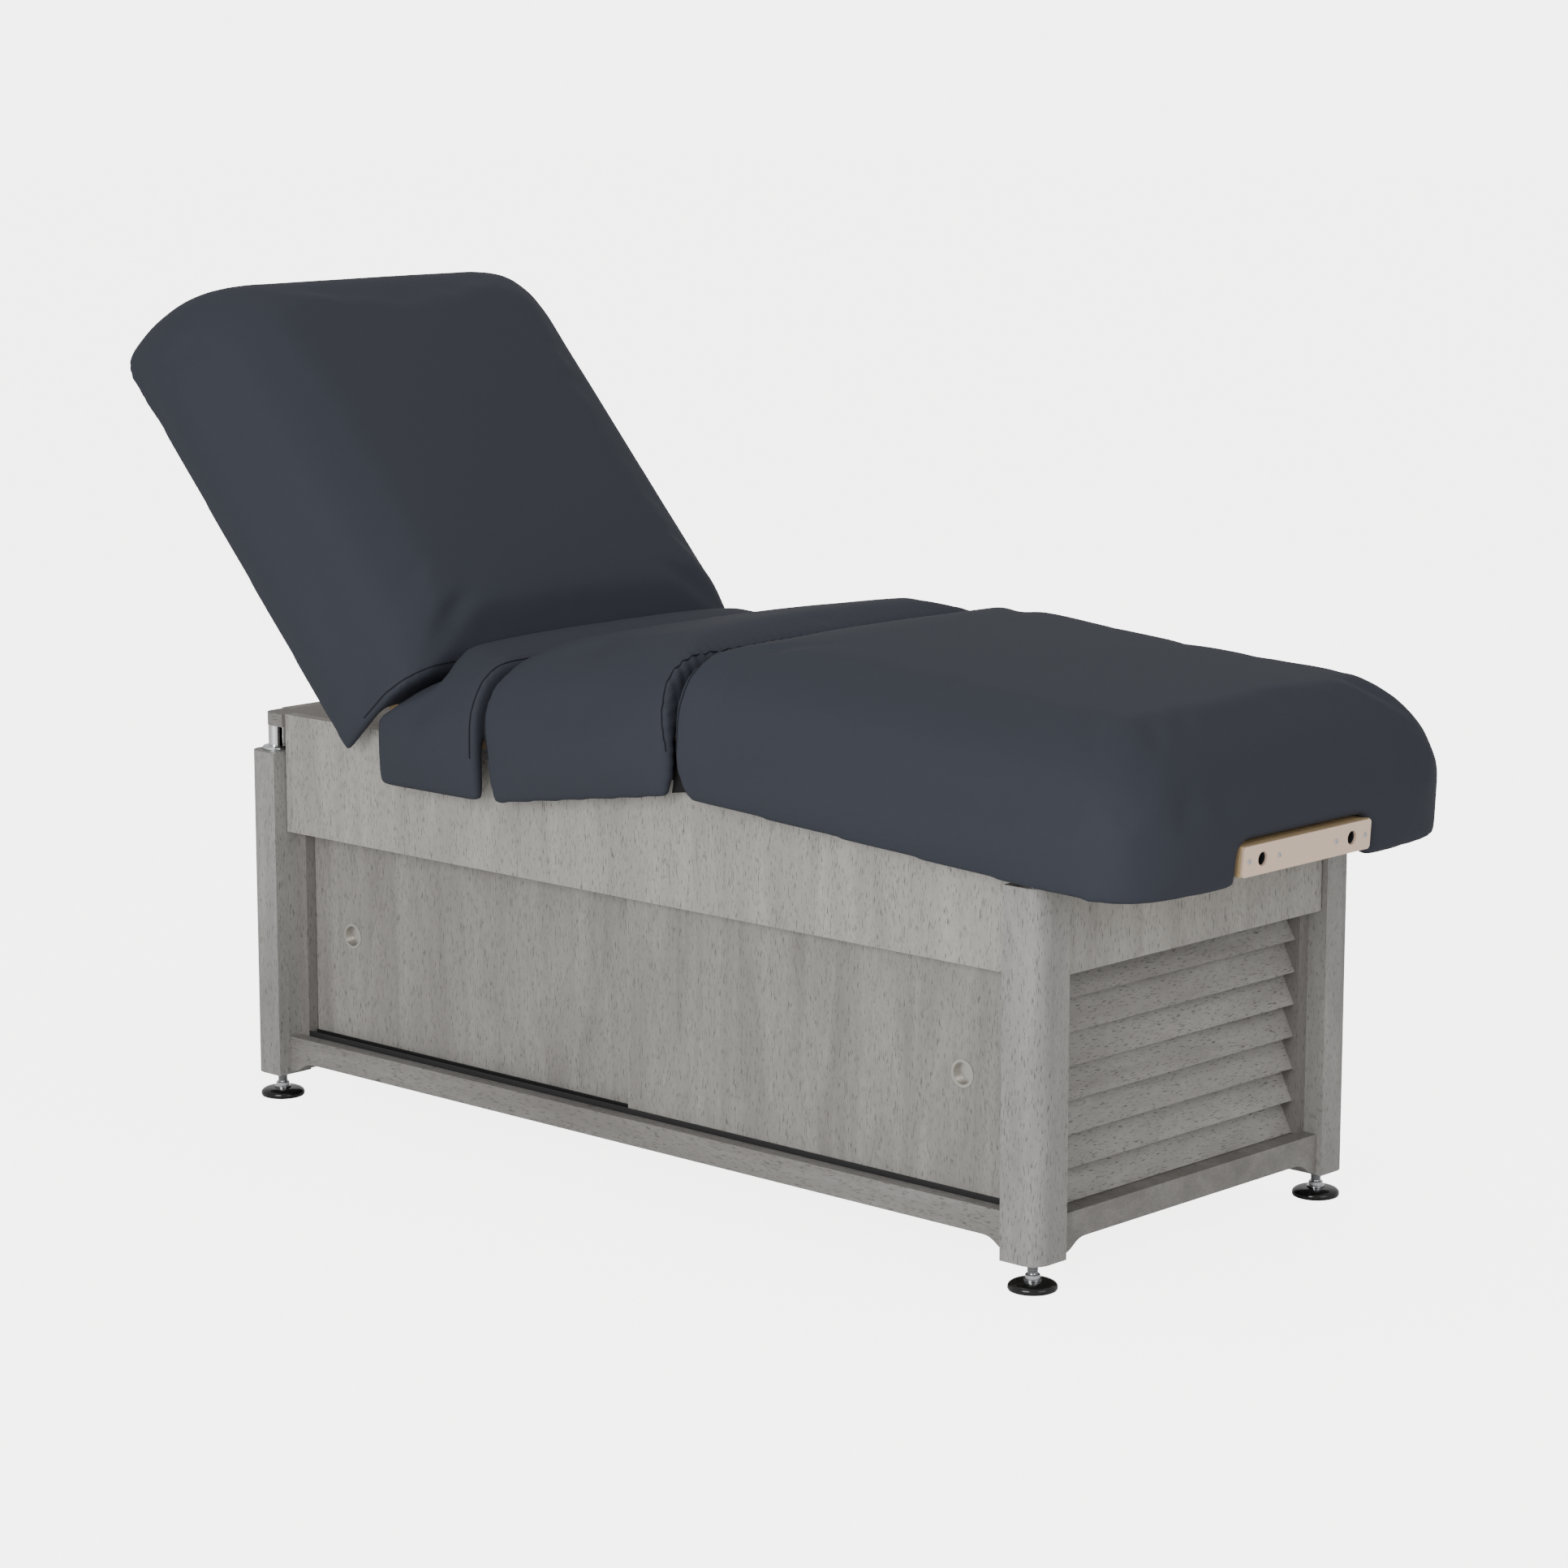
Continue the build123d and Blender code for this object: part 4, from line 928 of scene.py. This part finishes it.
    def seams(self, piece: bpy.types.Object) -> list[bpy.types.Object]:
        """Sewn edge round each end of the section that meets a neighbour.

        Args:
            piece: The finished pad.

        Returns:
            One seam piece, or none.
        """
        shape = self.local(self.coordinates(piece))
        start, stop, half = shape[:, 0].min(), shape[:, 0].max(), np.abs(shape[:, 1]).max()
        surface = BVHTree.FromPolygons(
            [tuple(p) for p in shape], [tuple(p.vertices) for p in piece.data.polygons]
        )
        ends = (start + self.seam_inset, stop - self.seam_inset)
        runs = []
        for a in [place for place, wanted in zip(ends, self.seam_ends) if wanted]:
            run = []
            for k in range(self.seam_steps + 1):
                turn = math.pi * k / self.seam_steps
                away = Vector((0, -math.cos(turn), math.sin(turn)))
                middle = Vector((a, math.copysign(min(abs(away.y) * 1.2, 1) * (half - 0.08), away.y), -0.02))
                middle.y *= abs(math.cos(turn))
                hit = surface.ray_cast(middle + away * 0.3, -away, 0.32)[0]
                if hit is not None:
                    run.append(Vector(self.world(np.array([hit]))[0]))
            runs.append(run)
        if not runs:
            return []
        stitch = [(0, -0.9 * MM), (0.5 * MM, -0.7 * MM), (0.5 * MM, 0.7 * MM), (0, 0.9 * MM)]
        thread = lathe("thread", stitch, Vector(), 6)
        row = RowMaker(f"{self.name}_stitching")
        # Stitching and piping are dressed in the darker seam vinyl: painted shade of the sewn groove.
        seam = row.lay(
            f"{self.name}_seam", runs, thread, self.shop["slate_vinyl_seam_painted_shade"],
            step=self.stitch_pitch, core=self.piping_radius,
        )
        bpy.data.objects.remove(thread)
        smooth(seam)
        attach(seam, self.body)
        return [seam]


@dataclass
class PaddedTop:
    """The four upholstered sections of the top."""

    shop: Workshop

    def sections(self) -> list[Pad]:
        """The four pads with their places, crowns and seams."""
        back, thigh, knee = (joint_place(j) for j in ("backrest_tilt", "thigh_tilt", "leg_tilt"))
        return [
            Pad(self.shop, "back_cushion", "back_pad", "backrest", back, BACK_ANGLE, -1,
                crown=9 * MM, rise=120 * MM, seam_ends=(True, False), end_tuck=1 * MM,
                end_grow=14 * MM, corner_push=20 * MM, hem_push=15 * MM, start_fall=19 * MM,
                start_gap=2 * MM, hem_drop=8 * MM),
            Pad(self.shop, "seat_cushion", "seat_pad", "lift_frame", back, 0.0, 1,
                crown=9 * MM, rise=111 * MM, seam_ends=(False, True), start_fall=5 * MM, start_gap=2 * MM),
            Pad(self.shop, "thigh_cushion", "thigh_pad", "thigh_section", thigh, THIGH_ANGLE, 1,
                crown=11 * MM, rise=114 * MM, seam_ends=(True, True), gathers=True, end_fall=9 * MM,
                start_fall=5 * MM, start_gap=2 * MM),
            Pad(self.shop, "leg_cushion", "leg_pad", "leg_section", knee, -LEG_ANGLE, 1,
                crown=12 * MM, rise=110 * MM, seam_ends=(True, False), end_tuck=1 * MM,
                end_grow=4 * MM, corner_push=22 * MM),
        ]

    def build(self) -> list[bpy.types.Object]:
        """Build every pad."""
        pieces = []
        for pad in self.sections():
            made = pad.build()
            for piece in made:
                log.info("%s: %d faces", piece.name, len(piece.data.polygons))
            pieces += made
        return pieces


@dataclass
class KneeShadeFlaps:
    """Black flaps behind the skirts that close the notch under the knee on both sides: dark sheets of painted
    shade where the notch lies in shade.
    """

    shop: Workshop
    length: float = 356 * MM
    half_top: float = 8 * MM
    half_bottom: float = 34 * MM
    top: float = -2 * MM
    bottom: float = -76 * MM
    places: tuple[float, float] = (313 * MM, 317 * MM)

    def build(self) -> bpy.types.Object:
        """Build both flaps, which ride on the thigh section."""
        hinge = joint_place("thigh_tilt")
        turn = math.radians(THIGH_ANGLE)
        along, up = Vector((math.cos(turn), 0, math.sin(turn))), Vector((-math.sin(turn), 0, math.cos(turn)))
        outline = [(-self.half_top, self.top), (self.half_top, self.top),
                   (self.half_bottom, self.bottom), (-self.half_bottom, self.bottom)]
        mesh = bmesh.new()
        for side in (-1, 1):
            layers = []
            for y in self.places:
                layers.append([
                    mesh.verts.new(hinge + along * (self.length + a) + up * n + Vector((0, side * y, 0)))
                    for a, n in outline
                ])
            inner, outer = layers
            mesh.faces.new(inner)
            mesh.faces.new(outer[::-1])
            for k in range(len(outline)):
                after = (k + 1) % len(outline)
                mesh.faces.new((inner[k], outer[k], outer[after], inner[after]))
        bmesh.ops.recalc_face_normals(mesh, faces=mesh.faces)
        data = bpy.data.meshes.new("knee_gussets")
        mesh.to_mesh(data)
        mesh.free()
        flaps = self.shop.dress(plain_object("knee_gussets", data), "painted_shade_black_cloth")
        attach(flaps, "thigh_section")
        return flaps


# ---------------------------------------------------------------- face-cradle outlet


@dataclass
class OutletScrews:
    """Small countersunk cross-recess screws of the pale outlet plate."""

    shop: Workshop
    head_radius: float = 3.4 * MM
    head_height: float = 1.3 * MM
    slot_width: float = 0.9 * MM
    sink: float = 0.8 * MM
    places: tuple[float, ...] = (-118 * MM, -58 * MM, 58 * MM, 118 * MM)
    cross_reach: float = 0.68
    rounding: tuple[tuple[float, float], ...] = ((1.0, 0.86), (0.6, 1.0), (0.0, 1.0))

    def head(self) -> bpy.types.Object:
        """One screw head lying along X, with a sunk cross."""
        mesh = bmesh.new()
        rings = 24
        cross = []
        for k in range(4):
            turn = math.pi / 2 * k
            for side in (-1, 1):
                reach, width = self.head_radius * self.cross_reach, side * self.slot_width / 2
                cross.append(Vector((0, reach * math.cos(turn) - width * math.sin(turn),
                                     reach * math.sin(turn) + width * math.cos(turn))))
            inner = turn + math.pi / 4
            corner = self.slot_width / math.sqrt(2)
            cross.append(Vector((0, corner * math.cos(inner), corner * math.sin(inner))))
        levels = ((self.head_height, cross), (self.head_height - self.sink, cross))
        lip, floor = [[mesh.verts.new(p + Vector((x, 0, 0))) for p in shape] for x, shape in levels]
        count = len(cross)
        for k in range(count):
            mesh.faces.new((lip[k], lip[(k + 1) % count], floor[(k + 1) % count], floor[k]))
        mesh.faces.new(floor)
        outer = []
        for height, share in self.rounding:
            x, radius = self.head_height * height, share * self.head_radius
            angles = [2 * math.pi * (k + 0.5) / rings for k in range(rings)]
            outer.append([mesh.verts.new((x, radius * math.cos(t), radius * math.sin(t))) for t in angles])
        for low, high in zip(outer, outer[1:]):
            for k in range(rings):
                mesh.faces.new((low[k], low[(k + 1) % rings], high[(k + 1) % rings], high[k]))
        mesh.faces.new(outer[-1])
        for loop, steps in ((lip, count), (outer[0], rings)):
            for k in range(steps):
                if mesh.edges.get((loop[k], loop[(k + 1) % steps])) is None:
                    mesh.edges.new((loop[k], loop[(k + 1) % steps]))
        rim = [
            mesh.edges.get((loop[k], loop[(k + 1) % len(loop)]))
            for loop in (lip, outer[0])
            for k in range(len(loop))
        ]
        bmesh.ops.triangle_fill(mesh, use_beauty=True, edges=rim)
        bmesh.ops.recalc_face_normals(mesh, faces=mesh.faces)
        data = bpy.data.meshes.new("screw_head")
        mesh.to_mesh(data)
        mesh.free()
        return plain_object("screw_head", data)

    def build(self) -> bpy.types.Object:
        """Build the four screws on the plate's face."""
        low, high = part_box("outlet_screws")
        tilt = math.radians(LEG_ANGLE)
        outward = Vector((math.cos(tilt), 0, -math.sin(tilt)))
        middle = (low + high) / 2 - outward * (self.head_height / 2 + 0.2 * MM)
        head = self.head()
        head.data.transform(outward.to_track_quat("X", "Z").to_matrix().to_4x4())
        row = RowMaker("outlet_screw_row", at_points=True)
        runs = [[middle + Vector((0, y, 0)) for y in self.places]]
        screws = row.lay("outlet_plate_screws", runs, head, self.shop["chrome_plate"])
        bpy.data.objects.remove(head)
        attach(screws, "leg_section")
        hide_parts("outlet_screws")
        return screws


# ---------------------------------------------------------------- studio


@dataclass(frozen=True)
class Lamp:
    """One square area light: its place, side and power in watts."""

    name: str
    place: tuple[float, float, float]
    size: float
    power: float

    def build(self, aim: Vector) -> None:
        """Hang the light, facing the aim.

        Args:
            aim: The point it faces.
        """
        data = bpy.data.lights.new(self.name, "AREA")
        data.size = self.size
        data.energy = self.power
        light = bpy.data.objects.new(self.name, data)
        light.location = self.place
        light.rotation_euler = (aim - Vector(self.place)).to_track_quat("-Z", "Y").to_euler()
        bpy.context.scene.collection.objects.link(light)


@dataclass
class Studio:
    """Pale floor, soft lights and the camera."""

    camera_place: tuple[float, float, float] = (3.925, -4.182, 1.536)
    yaw: float = -43.08
    pitch: float = -10.225
    lens: float = 98.7
    floor_half: float = 30.0
    floor_colour: str = "#F4F4F3"
    floor_glow: float = 5.0
    sky: float = 0.66
    backdrop: float = 4.5
    aim: tuple[float, float, float] = (0.0, 0.0, 0.5)
    lamps: tuple[Lamp, ...] = (
        Lamp("key", (1.3, -4.9, 1.8), 2.6, 165.0),
        Lamp("fill", (4.8, -0.6, 1.5), 2.5, 34.0),
        Lamp("top", (-0.6, 0.4, 4.2), 3.2, 22.0),
    )

    def build(self) -> None:
        """Build the floor, lights, world and camera."""
        half = self.floor_half
        mesh = bpy.data.meshes.new("studio_floor")
        corners = [(-half, -half, 0), (half, -half, 0), (half, half, 0), (-half, half, 0)]
        mesh.from_pydata(corners, [], [(0, 1, 2, 3)])
        floor = plain_object("studio_floor", mesh)
        material, tree, shader = new_finish("studio_paper")
        shader.inputs["Base Color"].default_value = linear(self.floor_colour)
        shader.inputs["Roughness"].default_value = 0.9
        shader.inputs["Emission Color"].default_value = linear(self.floor_colour)
        seen = add_node(tree, "ShaderNodeLightPath").outputs["Is Camera Ray"]
        glow = add_node(tree, "ShaderNodeMath", {0: seen, 1: self.floor_glow}, operation="MULTIPLY")
        tree.links.new(glow.outputs[0], shader.inputs["Emission Strength"])
        floor.data.materials.append(material)
        world = bpy.data.worlds.new("studio_sky")
        world.use_nodes = True
        background = next(n for n in world.node_tree.nodes if n.type == "BACKGROUND")
        background.inputs["Color"].default_value = (1.0, 1.0, 1.0, 1.0)
        tree = world.node_tree
        seen = add_node(tree, "ShaderNodeLightPath").outputs["Is Camera Ray"]
        strength = add_node(
            tree, "ShaderNodeMath", {0: seen, 1: self.backdrop, 2: self.sky}, operation="MULTIPLY_ADD"
        )
        tree.links.new(strength.outputs[0], background.inputs["Strength"])
        bpy.context.scene.world = world
        for lamp in self.lamps:
            lamp.build(Vector(self.aim))
        data = bpy.data.cameras.new("camera")
        data.lens = self.lens
        data.sensor_width = 36.0
        data.clip_end = 100.0
        camera = bpy.data.objects.new("camera", data)
        camera.location = self.camera_place
        yaw, pitch = math.radians(self.yaw), math.radians(self.pitch)
        forward = Vector((math.cos(pitch) * math.sin(yaw), math.cos(pitch) * math.cos(yaw), math.sin(pitch)))
        camera.rotation_euler = forward.to_track_quat("-Z", "Y").to_euler()
        bpy.context.scene.collection.objects.link(camera)
        bpy.context.scene.camera = camera


def main() -> None:
    """Build the looks of the whole table."""
    logging.basicConfig(level=logging.INFO, format="%(message)s")
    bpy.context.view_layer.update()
    shop = Workshop()
    Carpentry(shop).dress()
    for corner in ("head_front", "head_back", "foot_front", "foot_back"):
        LevellingFoot(shop, corner).build()
    OutletScrews(shop).build()
    PaddedTop(shop).build()
    KneeShadeFlaps(shop).build()
    Studio().build()


if __name__ == "__main__":
    main()
